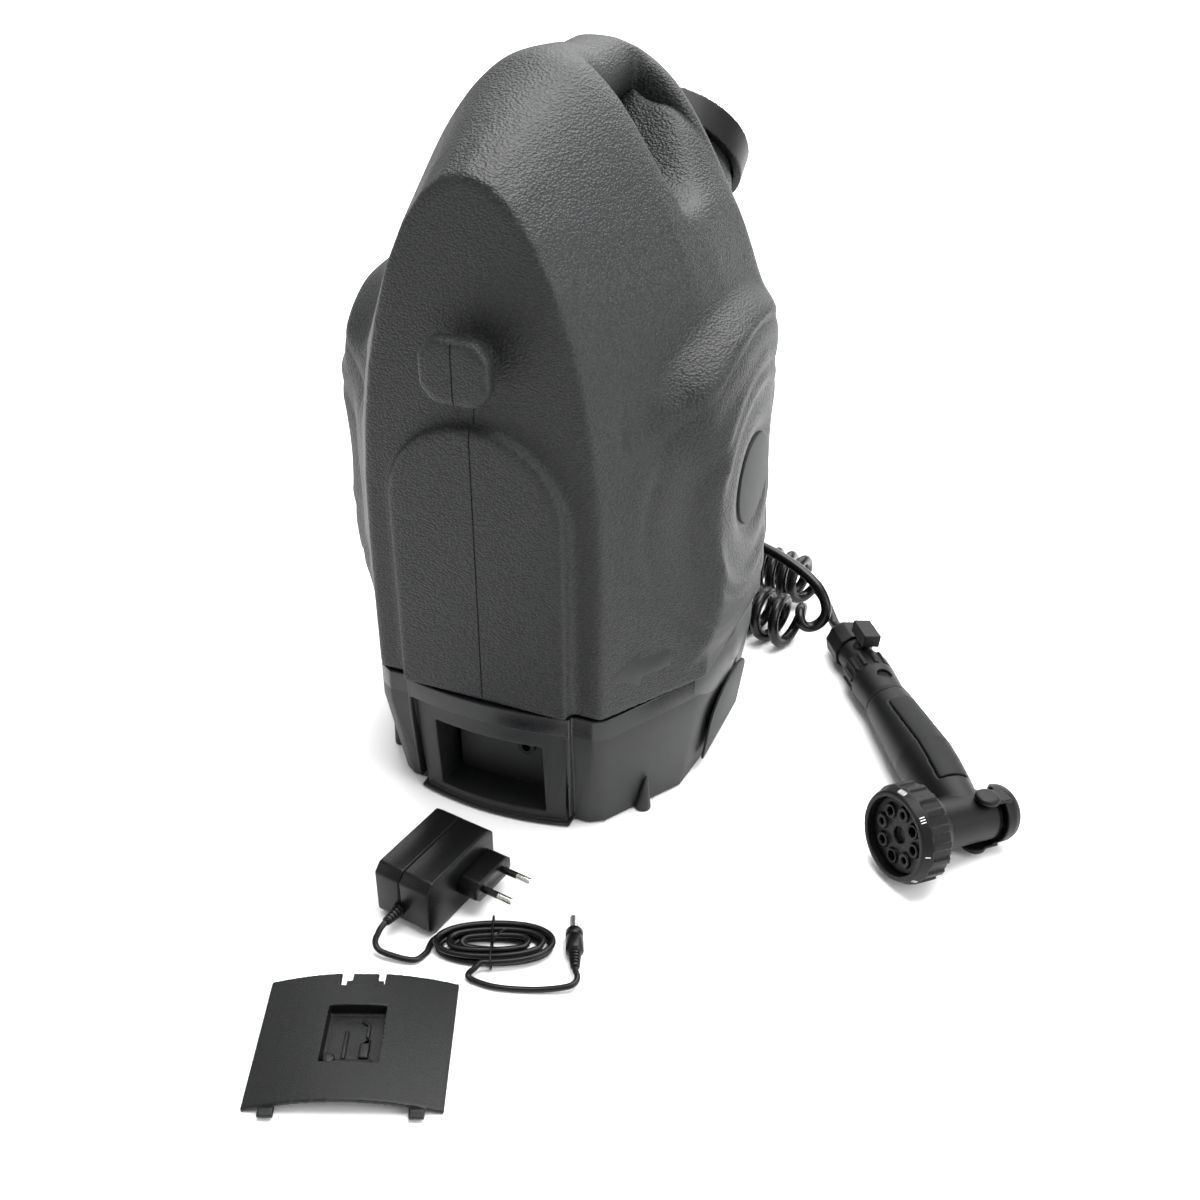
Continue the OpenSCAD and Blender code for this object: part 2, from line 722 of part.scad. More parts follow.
module stop_valve() {
  color("#17181a")
  grip_frame()
    translate([0, 0, collar_end + seat_gap])
      difference() {
        union() {
          cylinder(r = 12, h = valve_end - collar_end - seat_gap);
          translate([0, 0, valve_at - collar_end]) rotate([90, 0, 0]) cylinder(r = 6, h = 15);
        }
        translate([0, 0, -1]) cylinder(r = 4, h = 40);
        translate([0, -6, valve_at - collar_end]) rotate([90, 0, 0]) cylinder(r = 3 + run_gap, h = 20);
      }
}
module stop_lever() {
  color("#1d1e20")
  grip_frame()
    translate([0, -7, valve_at + seat_gap]) {
      rotate([90, 0, 0]) cylinder(r = 3, h = 13);
      translate([-6, -19, -11]) cube([12, 9 - slide_gap, 22]);
    }
}
module ribbed_collar() {
  color("#141516")
  grip_frame()
    translate([0, 0, joint_end + seat_gap])
      difference() {
        union() {
          cylinder(r = 14, h = collar_end - joint_end - seat_gap);
          for (k = [0 : 11])
            rotate([0, 0, 30 * k]) translate([12, -1.5, 2]) cube([3.6, 3, 15]);
        }
        translate([0, 0, -1]) cylinder(r = 4, h = 30);
      }
}
module gun_connector() {
  color("#1b1c1e")
  grip_frame()
    translate([0, 0, ring_end + seat_gap])
      difference() {
        cylinder(r1 = 14, r2 = 15.5, h = joint_end - ring_end - seat_gap);
        translate([0, 0, -1]) cylinder(r = 4, h = 30);
        translate([0, -12, 13]) rotate([90, 0, 0]) cylinder(r = 5, h = 10);
      }
}
module gun_ring() {
  color("#0b0b0c")
  grip_frame() translate([0, 0, grip_end + seat_gap]) tube(15, 8, ring_end - grip_end - seat_gap);
}
barrel_x = [-16, 24];
// the grip swells in its middle, g outside its surface
module grip_form(g) {
  cylinder(r1 = barrel_r - 0.5 + g, r2 = grip_r - 0.7 + g, h = 42);
  translate([0, 0, 42]) cylinder(r1 = grip_r - 0.7 + g, r2 = grip_r + g, h = 16);
  translate([0, 0, 58]) cylinder(r1 = grip_r + g, r2 = 15.5 + g, h = grip_end - 58);
}
module gun_body() {
  color("#1c1d1f")
  difference() {
    union() {
      gun_frame()
        translate([barrel_x[0], 0, 0])
          along_x() cylinder(r = barrel_r, h = barrel_x[1] - barrel_x[0]);
      grip_frame() grip_form(0);
    }
    gun_frame() translate([barrel_x[0] - 30, -40, -barrel_r - seat_gap]) cube([30, 80, 60]);
    gun_frame() translate([-60, 0, 0]) along_x() cylinder(r = 5 + run_gap, h = 120);
    gun_frame() translate([barrel_x[1] - 8, 0, 0]) along_x() cylinder(r = 9 + slide_gap, h = 20);
    grip_frame() translate([0, 0, 8]) cylinder(r = 4, h = 200);
    grip_frame() rotate([0, 0, 90]) translate([-24, -9.3, 22]) cube([11.6, 18.6, grip_end - 35]);
  }
}
module grip_inlay() {
  color("#0f0f10")
  grip_frame()
    intersection() {
      rotate([0, 0, 90]) translate([-24, -9, 22.3]) cube([11.3, 18, grip_end - 35.6]);
      grip_form(0.5);
    }
}
module rear_cap() {
  color("#141516")
  gun_frame()
    translate([barrel_x[0] - seat_gap, 0, 0])
      rotate([0, -90, 0])
        difference() {
          cylinder(r1 = barrel_r, r2 = barrel_r - 5, h = 7);
          translate([0, 0, -1]) cylinder(r = 5 + run_gap, h = 6);
        }
}
yoke_x = -4;
yoke_z = 4;
yoke_y = barrel_r + slide_gap;
yoke_t = 2;
module thumb_yoke() {
  color("#222326")
  gun_frame() {
    for (y = [-yoke_y - yoke_t, yoke_y])
      translate([yoke_x, y, yoke_z]) rotate([-90, 0, 0]) cylinder(r = 6, h = yoke_t);
    for (y = [-yoke_y - yoke_t, yoke_y])
      translate([-30, y, yoke_z - 4]) cube([26, yoke_t, 10]);
    translate([-30, -yoke_y - yoke_t, yoke_z - 4]) cube([4, 2 * yoke_y + 2 * yoke_t, 20]);
    translate([-27, 0, 18]) rotate([0, -20, 0]) cylinder(r = 10, h = 5);
  }
}
module spray_dial() {
  color("#161718")
  gun_frame()
    translate([barrel_x[1] + slide_gap, 0, 0])
      along_x()
        difference() {
          union() {
            cylinder(r1 = 20, r2 = 25, h = 8);
            translate([0, 0, 8]) cylinder(r = dial_r - 1.5, h = 14);
            translate([0, 0, 22]) cylinder(r1 = dial_r, r2 = dial_r - 3, h = 6);
            for (k = [0 : 17])
              rotate([0, 0, 20 * k]) translate([dial_r - 4, -2, 9]) cube([4, 4, 12.5]);
          }
          translate([0, 0, 14]) cylinder(r = dial_r - 6, h = 30);
          translate([0, 0, -1]) cylinder(r = 5 + run_gap, h = 40);
        }
}
face_x = barrel_x[1] + slide_gap + 14;
module nozzle_face() {
  color("#121314")
  gun_frame()
    translate([face_x + 0.05, 0, 0])
      along_x()
        difference() {
          union() {
            cylinder(r = dial_r - 6.4, h = 9);
            for (k = [0 : 7]) rotate([0, 0, 45 * k]) translate([14.5, 0, 8]) cylinder(r = 4.4, h = 3);
          }
          for (k = [0 : 7])
            rotate([0, 0, 45 * k]) translate([14.5, 0, 5]) cylinder(r = 2 + k % 3 * 0.5, h = 10);
          translate([0, 0, -1]) cylinder(r = 5 + run_gap, h = 6);
          translate([0, 0, 6]) cylinder(r = 5, h = 6);
        }
}
module flow_spindle() {
  color("#8d9196")
  gun_frame()
    translate([barrel_x[0] - 4, 0, 0])
      along_x() {
        cylinder(r = 5, h = face_x + 4 - barrel_x[0] - 1 + 4);
        translate([0, 0, barrel_x[1] - barrel_x[0] - 3]) cylinder(r = 9, h = 6.5);
      }
}

// loose bay door, lying in front of the tank
module door_frame() {
  translate([16, -311, 0]) rotate([0, 0, 22]) children();
}
door_t = 2.4;
door_bow = 8;
module door_plate(w, h, z0, z1) {
  translate([0, h / 2, 0])
    rotate([90, 0, 0])
      linear_extrude(h)
        polygon(concat(
          [for (i = [-8 : 8]) [w * i / 16, z1 + door_bow * (1 - i * i / 64)]],
          [for (i = [8 : -1 : -8]) [w * i / 16, z0 + door_bow * (1 - i * i / 64)]]
        ));
}
module battery_door() {
  color("#17181a")
  door_frame()
    difference() {
      union() {
        door_plate(door_w, door_h, 0, door_t);
        translate([-10, door_h / 2 - 9, 0]) cube([20, 9, door_bow + 1]);
        translate([-7, door_h / 2 - 4, 3]) cube([14, 9, 2.6]);
        for (x = [-37, 37]) translate([x - 4, -door_h / 2 - 5, 2]) cube([8, 8, 2.4]);
        translate([-17, -19, 0]) cube([34, 40, door_bow]);
      }
      translate([-15, -17, 3]) cube([30, 36, 20]);
      translate([-11.5, door_h / 2 - 8, 4.4]) cube([23, 20, 20]);
    }
}

// charger: pins along its X
charger_at = [36, -189];
module charger_frame() {
  translate([charger_at[0], charger_at[1], 0]) rotate([0, 0, -9.3]) children();
}
case_x = [-50, -13];
case_y = [-43, 19];
pin_z = 17;
module charger_case() {
  color("#131415")
  charger_frame()
    translate([case_x[0], 0, 0])
      along_x()
        linear_extrude(17)
          polygon([
            [0, case_y[0] + 5], [-5, case_y[0]], [-charger_h + 5, case_y[0]], [-charger_h, case_y[0] + 5],
            [-charger_h, case_y[1] - 5], [-charger_h + 5, case_y[1]], [-5, case_y[1]], [0, case_y[1] - 5]
          ]);
}
module charger_lid() {
  color("#111213")
  charger_frame()
    translate([case_x[0] + 17 + 0.05, 0, 0])
      along_x()
        linear_extrude(case_x[1] - case_x[0] - 17.05)
          polygon([
            [0, case_y[0] + 5], [-5, case_y[0]], [-charger_h + 5, case_y[0]], [-charger_h, case_y[0] + 5],
            [-charger_h, case_y[1] - 5], [-charger_h + 5, case_y[1]], [-5, case_y[1]], [0, case_y[1] - 5]
          ]);
}
module plug_block() {
  color("#101112")
  charger_frame()
    translate([case_x[1] + 0.05, 0, pin_z])
      along_x()
        difference() {
          linear_extrude(-case_x[1] - 0.05)
            polygon([[-7, -13], [-3, -17], [3, -17], [7, -13], [7, 13], [3, 17], [-3, 17], [-7, 13]]);
          for (y = [-pin_gap / 2, pin_gap / 2])
            translate([0, y, 2]) cylinder(r = pin_r - 0.4 + run_gap, h = 20);
        }
}
module plug_pins() {
  color("#c9ccd0")
  charger_frame()
    for (y = [-pin_gap / 2, pin_gap / 2])
      translate([case_x[1] + 2.2, y, pin_z])
        along_x() {
          cylinder(r = pin_r - 0.4, h = -case_x[1] - 2);
          translate([0, 0, -case_x[1] - 2.15]) cylinder(r = pin_r, h = pin_l);
        }
}
relief_at = [-34, case_y[0], 12];
module strain_relief() {
  color("#0d0d0e")
  charger_frame()
    translate(relief_at - [0, 0.05, 0])
      rotate([90, 0, 0]) cylinder(r1 = 4, r2 = 2.6, h = 12);
}
function charger_pt(p) = [
  charger_at[0] + p[0] * cos(9.3) + p[1] * sin(9.3),
  charger_at[1] - p[0] * sin(9.3) + p[1] * cos(9.3),
  p[2]
];
hank_c = [51, -222.5];
hank_dir = 23;
function hank_pt(p) = [
  hank_c[0] + p[0] * cos(hank_dir) - p[1] * sin(hank_dir),
  hank_c[1] + p[0] * sin(hank_dir) + p[1] * cos(hank_dir),
  p[2]
];
hank_n = 5.75;
lay = cord_d + 0.8;
// wound inward on the floor, then outward on top of that
function hank_line() = [
  for (i = [0 : 24 * hank_n]) let (
    u = i / 24, t = 180 - 360 * u, k = abs(u - hank_n / 2), up = ease((u - hank_n / 2) * 1.4 + 0.5),
    w = 3 + (lay + 0.6) * k, a = 20 + (lay + 0.9) * k, waist = 1 - 0.08 * pow(abs(sin(t)), 3))
  hank_pt([a * cos(t), w * waist * sin(t), cord_d / 2 + 0.1 + lay * up])
];
hank_p = hank_line();
module cord_hank() {
  color("#0c0c0d") sweep(hank_p, cord_d, 6);
}
hank_out = tangent(hank_p, len(hank_p) - 1);
hank_in = tangent(hank_p, 0);
lead_from = charger_pt(relief_at - [0, 12.35, 0]);
lead_dir = unit(charger_pt([0, -1, 0]) - charger_pt([0, 0, 0]));
lead_to = hank_p[0] - 0.3 * hank_in;
module cord_lead() {
  color("#0c0c0d")
  sweep(concat([lead_from], spline([
    lead_from + 1 * lead_dir, lead_from + 6 * lead_dir - [0, 0, 2], lead_from + [1, -13, 5 - lead_from[2]],
    lead_to - 9 * hank_in + [-5, -4, 0.8], lead_to - 5 * hank_in, lead_to - 1 * hank_in
  ], 5), [lead_to]), cord_d, 8);
}
tie_w = 0.92 * (3 + (lay + 0.6) * hank_n / 2) + cord_d / 2 + 0.5;
module hank_tie() {
  color("#1a1a1a")
  translate([hank_c[0], hank_c[1], 0])
    rotate([0, 0, hank_dir])
      difference() {
        translate([-2.5, -tie_w - 1, 0]) cube([5, 2 * tie_w + 2, 2 * lay + 1.4]);
        translate([-5, -tie_w, -1]) cube([10, 2 * tie_w, 2 * lay + 1.2]);
      }
}
plug_tail = [100.5, -222, 5.2];
plug_dir = unit([-15.5, 34, 0]);
tail_from = hank_p[len(hank_p) - 1] + 0.3 * hank_out;
tail_to = plug_tail - 0.35 * plug_dir;
module cord_tail() {
  color("#0c0c0d")
  sweep(concat([tail_from], spline([
    tail_from + 1 * hank_out, tail_from + 5 * hank_out, tail_from + 11 * hank_out + [2, -4, -2.5],
    [45, -247.5, cord_d / 2 + 0.2], [64, -248.5, cord_d / 2 + 0.2], [88, -241, cord_d / 2 + 0.4],
    plug_tail - 11 * plug_dir - [0, 0, 0.6],
    tail_to - 1 * plug_dir
  ], 5), [tail_to]), cord_d, 8);
}
module plug_frame() {
  translate(plug_tail) rotate([0, 0, atan2(plug_dir[1], plug_dir[0])]) along_x() children();
}
module dc_plug() {
  color("#0d0d0e")
  plug_frame()
    difference() {
      union() {
        cylinder(r1 = 2.6, r2 = 4, h = 11);
        translate([0, 0, 11]) cylinder(r = 5, h = 16);
      }
      translate([0, 0, 20]) cylinder(r = 2.2 + run_gap, h = 10);
    }
}
module dc_barrel() {
  color("#c4c7cb")
  plug_frame()
    translate([0, 0, 20.2])
      difference() {
        union() {
          cylinder(r = 2.2, h = 7);
          translate([0, 0, 7]) cylinder(r = 2.75, h = 9.5);
        }
        translate([0, 0, 5]) cylinder(r = 1.1, h = 20);
      }
}
echo(hose_self_gap = self_gap(hose_line, hose_d));
echo(hank_self_gap = self_gap(hank_p, cord_d));

base_housing();
bottom_plate();
base_screws();
base_badges();
bay_contacts();
battery_pack();
dc_socket();
charge_board();
pump_bracket();
motor_mounts();
pump_motor();
pump_head();
drive_shaft();
head_cover();
inlet_pipe();
outlet_pipe();
hose_outlet();
outlet_nut();
switch_bezel();
power_rocker();
port_seal();
tank_shell();
tank_shoe();
shoe_screws();
tank_port();
port_screen();
tank_badges();
filler_cap();
cap_gasket();
hose();
hose_nut();
stop_valve();
stop_lever();
ribbed_collar();
gun_connector();
gun_ring();
gun_body();
grip_inlay();
rear_cap();
thumb_yoke();
spray_dial();
nozzle_face();
flow_spindle();
battery_door();
charger_case();
charger_lid();
plug_block();
plug_pins();
strain_relief();
cord_lead();
cord_hank();
hank_tie();
cord_tail();
dc_plug();
dc_barrel();
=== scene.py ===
import json
import math

import bpy
from mathutils import Matrix, Vector


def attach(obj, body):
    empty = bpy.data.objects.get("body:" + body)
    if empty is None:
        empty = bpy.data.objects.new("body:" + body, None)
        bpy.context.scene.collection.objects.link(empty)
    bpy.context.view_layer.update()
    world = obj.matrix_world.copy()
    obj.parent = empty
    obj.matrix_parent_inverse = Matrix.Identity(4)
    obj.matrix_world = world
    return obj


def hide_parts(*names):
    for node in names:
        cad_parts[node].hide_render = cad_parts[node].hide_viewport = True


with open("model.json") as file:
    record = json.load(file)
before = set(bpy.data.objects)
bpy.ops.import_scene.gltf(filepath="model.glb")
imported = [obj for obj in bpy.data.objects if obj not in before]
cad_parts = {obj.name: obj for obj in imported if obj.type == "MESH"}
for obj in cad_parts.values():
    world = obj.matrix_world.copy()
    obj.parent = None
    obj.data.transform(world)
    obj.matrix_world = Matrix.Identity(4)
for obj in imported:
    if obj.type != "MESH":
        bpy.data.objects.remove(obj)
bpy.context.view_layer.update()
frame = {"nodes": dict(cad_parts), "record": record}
nodes = frame["nodes"]
MM = 0.001


# The photographer's table: a pale floor and large soft lamps overhead, with the
# camera standing in front of the battery bay end and looking down on the tank.
camera = bpy.data.objects.new("camera", bpy.data.cameras.new("camera"))
camera.data.lens = 45
camera.data.sensor_width = 36
camera.data.clip_start = 0.01
camera.location = (0.3331, -0.7408, 0.6120)
camera.rotation_euler = (math.radians(56.9), 0, math.radians(22.8))
bpy.context.scene.collection.objects.link(camera)
bpy.context.scene.camera = camera


def pick_only(piece):
    """The one piece that the next operator works on."""
    bpy.ops.object.select_all(action="DESELECT")
    piece.select_set(True)
    bpy.context.view_layer.objects.active = piece


def plain_node(tree, kind, **sockets):
    """A node with some of its inputs set; an underscore stands for a space."""
    made = tree.nodes.new(kind)
    for name, value in sockets.items():
        made.inputs[name.replace("_", " ")].default_value = value
    return made


def lamp(name, place, aim, size, watts):
    """A large soft lamp, turned towards what it lights."""
    light = bpy.data.lights.new(name, "AREA")
    light.shape = "RECTANGLE"
    light.size, light.size_y = size
    light.energy = watts
    stand = bpy.data.objects.new(name, light)
    stand.location = place
    stand.rotation_euler = (Vector(aim) - Vector(place)).to_track_quat("-Z", "Y").to_euler()
    bpy.context.scene.collection.objects.link(stand)


lamp("overhead_softbox", (0.25, 0.2, 1.7), (0, 0, 0.2), (1.3, 1.3), 58)
lamp("right_softbox", (1.7, -0.3, 1.0), (0.05, -0.05, 0.2), (0.9, 1.2), 20)
lamp("left_softbox", (-1.5, -1.1, 0.9), (0, -0.1, 0.15), (0.9, 1.1), 3)
lamp("back_softbox", (0.2, 1.9, 1.2), (0, 0, 0.25), (1.6, 1.0), 14)
lamp("backdrop_wash", (-0.4, 2.2, 2.0), (-0.4, 2.3, 0), (4.5, 2.0), 120)
bpy.context.scene.view_settings.view_transform = "Standard"

studio = bpy.data.worlds.new("studio_white")
bpy.context.scene.world = studio
studio.use_nodes = True
studio.node_tree.nodes["Background"].inputs["Color"].default_value = (1, 1, 1, 1)
studio.node_tree.nodes["Background"].inputs["Strength"].default_value = 0.6

bpy.ops.mesh.primitive_plane_add(size=14)
floor = bpy.context.object
floor.name = "studio_floor"
paper = bpy.data.materials.new("white_paper")
paper.use_nodes = True
paper_shader = paper.node_tree.nodes["Principled BSDF"]
paper_shader.inputs["Roughness"].default_value = 0.9
paper_fibre = plain_node(paper.node_tree, "ShaderNodeTexNoise", Scale=900)
paper_tint = plain_node(paper.node_tree, "ShaderNodeMix")
paper_tint.data_type = "RGBA"
paper_tint.inputs[6].default_value = (0.93, 0.93, 0.93, 1)
paper_tint.inputs[7].default_value = (0.96, 0.96, 0.96, 1)
paper.node_tree.links.new(paper_fibre.outputs["Fac"], paper_tint.inputs[0])
paper.node_tree.links.new(paper_tint.outputs[2], paper_shader.inputs["Base Color"])
floor.data.materials.append(paper)


# Moulded skin: what every plastic piece here shares. The mould's texture stands up as small cells
# whose pits are painted darker as painted shade, and slow flow of the melt leaves patches a little
# paler and duller.
def worked_out(tree, operation, first, second=0.0, third=0.0):
    """One sum in a material, of sockets and plain numbers."""
    step = tree.nodes.new("ShaderNodeMath")
    step.operation = operation
    for place, value in zip(step.inputs, (first, second, third)):
        if isinstance(value, bpy.types.NodeSocket):
            tree.links.new(value, place)
        else:
            place.default_value = value
    return step.outputs[0]


skin = bpy.data.node_groups.new("moulded_skin", "ShaderNodeTree")
for label, kind, value in (
    ("Colour", "NodeSocketColor", (0.02, 0.02, 0.02, 1)),
    ("Gloss", "NodeSocketFloat", 0.5),
    ("Cells per metre", "NodeSocketFloat", 600),
    ("Cell height", "NodeSocketFloat", 0.0002),
    ("Painted pit shade", "NodeSocketFloat", 0.2),
):
    entry = skin.interface.new_socket(label, in_out="INPUT", socket_type=kind)
    entry.default_value = value
for label, kind in (
    ("Colour", "NodeSocketColor"),
    ("Roughness", "NodeSocketFloat"),
    ("Normal", "NodeSocketVector"),
):
    skin.interface.new_socket(label, in_out="OUTPUT", socket_type=kind)
skin_in = skin.nodes.new("NodeGroupInput")
skin_out = skin.nodes.new("NodeGroupOutput")
skin_place = skin.nodes.new("ShaderNodeTexCoord")
wander = plain_node(skin, "ShaderNodeTexNoise", Scale=260, Detail=2)
wander_step = plain_node(skin, "ShaderNodeVectorMath")
wander_step.operation = "MULTIPLY_ADD"
wander_step.inputs[1].default_value = (0.0016, 0.0016, 0.0016)
squat = plain_node(skin, "ShaderNodeMapping")
squat.inputs["Scale"].default_value = (1, 1, 1.45)
cells = plain_node(skin, "ShaderNodeTexVoronoi", Randomness=1.0)
cells.feature = "SMOOTH_F1"
cells.inputs["Smoothness"].default_value = 0.55
crowns = plain_node(skin, "ShaderNodeMapRange", From_Min=0.75, From_Max=0.1)
flow = plain_node(skin, "ShaderNodeTexNoise", Scale=14, Detail=3)
relief = plain_node(skin, "ShaderNodeBump", Strength=1.0)
pale = plain_node(skin, "ShaderNodeMapRange", To_Min=0.82, To_Max=1.22)
tone = skin.nodes.new("ShaderNodeVectorMath")
tone.operation = "SCALE"
dull = plain_node(skin, "ShaderNodeMapRange", To_Min=-0.07, To_Max=0.07)
pits = plain_node(skin, "ShaderNodeMapRange", To_Min=0.05, To_Max=-0.05)
rough_flow = worked_out(skin, "ADD", skin_in.outputs["Gloss"], dull.outputs["Result"])
rough_cells = worked_out(skin, "ADD", rough_flow, pits.outputs["Result"])
# The pits between the cells are painted darker in colour: painted shade in the recesses.
pit_depth = plain_node(skin, "ShaderNodeMapRange", To_Min=1.0, To_Max=0.0)
painted_pit_darkening = worked_out(
    skin, "MULTIPLY", pit_depth.outputs["Result"], skin_in.outputs["Painted pit shade"])
pit_keep = worked_out(skin, "SUBTRACT", 1.0, painted_pit_darkening)
shaded = skin.nodes.new("ShaderNodeVectorMath")
shaded.operation = "SCALE"
for start, end in (
    (skin_place.outputs["Object"], wander.inputs["Vector"]),
    (wander.outputs["Color"], wander_step.inputs[0]),
    (skin_place.outputs["Object"], wander_step.inputs[2]),
    (wander_step.outputs["Vector"], squat.inputs["Vector"]),
    (squat.outputs["Vector"], cells.inputs["Vector"]),
    (cells.outputs["Distance"], crowns.inputs["Value"]),
    (skin_place.outputs["Object"], flow.inputs["Vector"]),
    (skin_in.outputs["Cells per metre"], cells.inputs["Scale"]),
    (crowns.outputs["Result"], relief.inputs["Height"]),
    (skin_in.outputs["Cell height"], relief.inputs["Distance"]),
    (flow.outputs["Fac"], pale.inputs["Value"]),
    (pale.outputs["Result"], tone.inputs["Scale"]),
    (skin_in.outputs["Colour"], tone.inputs[0]),
    (flow.outputs["Fac"], dull.inputs["Value"]),
    (crowns.outputs["Result"], pits.inputs["Value"]),
    (crowns.outputs["Result"], pit_depth.inputs["Value"]),
    (tone.outputs["Vector"], shaded.inputs[0]),
    (pit_keep, shaded.inputs["Scale"]),
    (shaded.outputs["Vector"], skin_out.inputs["Colour"]),
    (rough_cells, skin_out.inputs["Roughness"]),
    (relief.outputs["Normal"], skin_out.inputs["Normal"]),
):
    skin.links.new(start, end)


def moulded(
    name, colour, gloss, cells_per_metre, cell_height, metal=0.0, specular=0.4, painted_pit_shade=0.15,
):
    """A plastic or metal finish with the moulded skin's texture."""
    finish = bpy.data.materials.new(name)
    finish.use_nodes = True
    tree = finish.node_tree
    shader = tree.nodes["Principled BSDF"]
    shader.inputs["Metallic"].default_value = metal
    shader.inputs["Specular IOR Level"].default_value = specular
    coat = tree.nodes.new("ShaderNodeGroup")
    coat.node_tree = skin
    for entry, value in (
        ("Colour", (*colour, 1)), ("Gloss", gloss), ("Cells per metre", cells_per_metre),
        ("Cell height", cell_height), ("Painted pit shade", painted_pit_shade),
    ):
        coat.inputs[entry].default_value = value
    for start, end in (("Colour", "Base Color"), ("Roughness", "Roughness"), ("Normal", "Normal")):
        tree.links.new(coat.outputs[start], shader.inputs[end])
    return finish


def stands_for(piece, body, slot, *replaced):
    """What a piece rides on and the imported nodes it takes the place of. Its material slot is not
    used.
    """
    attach(piece, body)
    if replaced:
        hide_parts(*replaced)


# The curly hose: soft black polyurethane, 7.5 mm through, wound into curls when it
# was made. It leaves the outlet behind the base, lies in two rows and ends in the gun.
HOSE_D = 7.5
CURL_R = 15.5
CURL_EASE = 22
CURL_STEPS = 24
CURL_GROWN = 6
WAY_STEPS = 24
OUTLET = Vector((-20, 132.8, 40))
GUN_J = Vector((271, -43.5, 23.7))
GUN_FWD = Vector((-0.635, -0.756, 0.15)).normalized()
GUN_DOWN = Vector((-0.565, 0.825, -0.045)).normalized()
GRIP_LONG = 213
NUT_END = GUN_J + GRIP_LONG * GUN_DOWN
CURL_Z = CURL_R + HOSE_D / 2 + 0.2


def smooth_run(points, steps):
    """A smooth line through the points, in so many steps from each to the next."""
    run = []
    for i in range(len(points) - 1):
        a, b = Vector(points[max(i - 1, 0)]), Vector(points[i])
        c, d = Vector(points[i + 1]), Vector(points[min(i + 2, len(points) - 1)])
        for k in range(steps):
            t = k / steps
            run.append(
                b + (c - a) * t / 2 + (2 * a - 5 * b + 4 * c - d) * t * t / 2
                + (3 * b - a - 3 * c + d) * t ** 3 / 2
            )
    return run + [Vector(points[-1])]


def lengths_along(run):
    """How far along the run each of its points lies."""
    total, found = 0.0, [0.0]
    for i in range(1, len(run)):
        total += (run[i] - run[i - 1]).length
        found.append(total)
    return found


def eased(t):
    """From nought to one without a corner at either end."""
    t = min(max(t, 0.0), 1.0)
    return t * t * (3 - 2 * t)


def round_cord(name, run, diameter, finish, sides=5):
    """A round strand along a run of points."""
    line = bpy.data.curves.new(name, "CURVE")
    line.dimensions = "3D"
    line.bevel_depth = diameter / 2 * MM
    line.bevel_resolution = sides
    line.use_fill_caps = True
    strand = line.splines.new("POLY")
    strand.points.add(len(run) - 1)
    for point, place in zip(strand.points, run):
        point.co = (*(place * MM), 1)
    strand.use_smooth = True
    line.materials.append(finish)
    piece = bpy.data.objects.new(name, line)
    bpy.context.scene.collection.objects.link(piece)
    return piece


hose_way = smooth_run([
    OUTLET, OUTLET + Vector((0, 10, 0)), (-8, 157, 46), (24, 158, 58), (64, 152, 62),
    (100, 144, 58), (130, 133, 48), (141, 124, 32), (131, 121, CURL_Z), (112, 123, CURL_Z),
    (90, 129, CURL_Z), (66, 139.5, CURL_Z), (44, 145, CURL_Z), (22, 155, CURL_Z),
    (14, 172, CURL_Z), (28, 184, CURL_Z), (56, 184, CURL_Z), (86, 183, CURL_Z),
    (110, 178, CURL_Z), (126, 167, CURL_Z),
    NUT_END + 16 * GUN_DOWN, NUT_END + 5 * GUN_DOWN, NUT_END - 8 * GUN_DOWN,
], WAY_STEPS)
hose_at = lengths_along(hose_way)
# Each row of curls: the points of the way where it begins and ends, and its pitch.
curl_rows = [
    (hose_at[first] - CURL_GROWN, hose_at[last] + CURL_GROWN, pitch)
    for first, last, pitch in (
        (WAY_STEPS * 8, WAY_STEPS * 12, 13.5),
        (WAY_STEPS * 15 + 14, WAY_STEPS * 18 + 14, 10.2),
    )
]


def on_way(s):
    """The place at a length along the hose's way."""
    i = 0
    while i < len(hose_at) - 2 and hose_at[i + 1] < s:
        i += 1
    part = (s - hose_at[i]) / max(hose_at[i + 1] - hose_at[i], 1e-9)
    return hose_way[i].lerp(hose_way[i + 1], min(max(part, 0), 1))


hose_run = []
s, turned = 0.0, 0.0
while s < hose_at[-1]:
    row = next((r for r in curl_rows if r[0] - 2 < s < r[1]), None)
    opened = max(
        eased((s - start) / CURL_EASE) * eased((end - s) / CURL_EASE) for start, end, _ in curl_rows
    )
    reach = CURL_R * opened
    ahead = (on_way(min(s + 2, hose_at[-1])) - on_way(max(s - 2, 0))).normalized()
    across = Vector((0, 0, 1)).cross(ahead).normalized()
    over = ahead.cross(across)
    hose_run.append(on_way(s) + reach * (math.cos(turned) * across + math.sin(turned) * over))
    turned += math.radians(360 / CURL_STEPS) * opened ** 1.5 if row else 0
    s += row[2] / CURL_STEPS if row else 3
hose_run.append(hose_way[-1])


def relaxed(run, least_bend, step, rounds):
    """The run at even steps, eased wherever it bends tighter than the cord can."""
    at = lengths_along(run)
    count = int(at[-1] / step)
    even, i = [], 0
    for k in range(count + 1):
        s = at[-1] * k / count
        while i < len(at) - 2 and at[i + 1] < s:
            i += 1
        part = (s - at[i]) / max(at[i + 1] - at[i], 1e-9)
        even.append(run[i].lerp(run[i + 1], min(max(part, 0), 1)))
    for _ in range(rounds):
        tight = set()
        for i in range(2, len(even) - 2):
            back, ahead = even[i] - even[i - 1], even[i + 1] - even[i]
            if back.angle(ahead, 0) * least_bend > (back.length + ahead.length) / 2:
                tight.update((i - 1, i, i + 1))
        for i in tight:
            if 2 <= i < len(even) - 2:
                even[i] = even[i].lerp((even[i - 1] + even[i + 1]) / 2, 0.5)
    return even


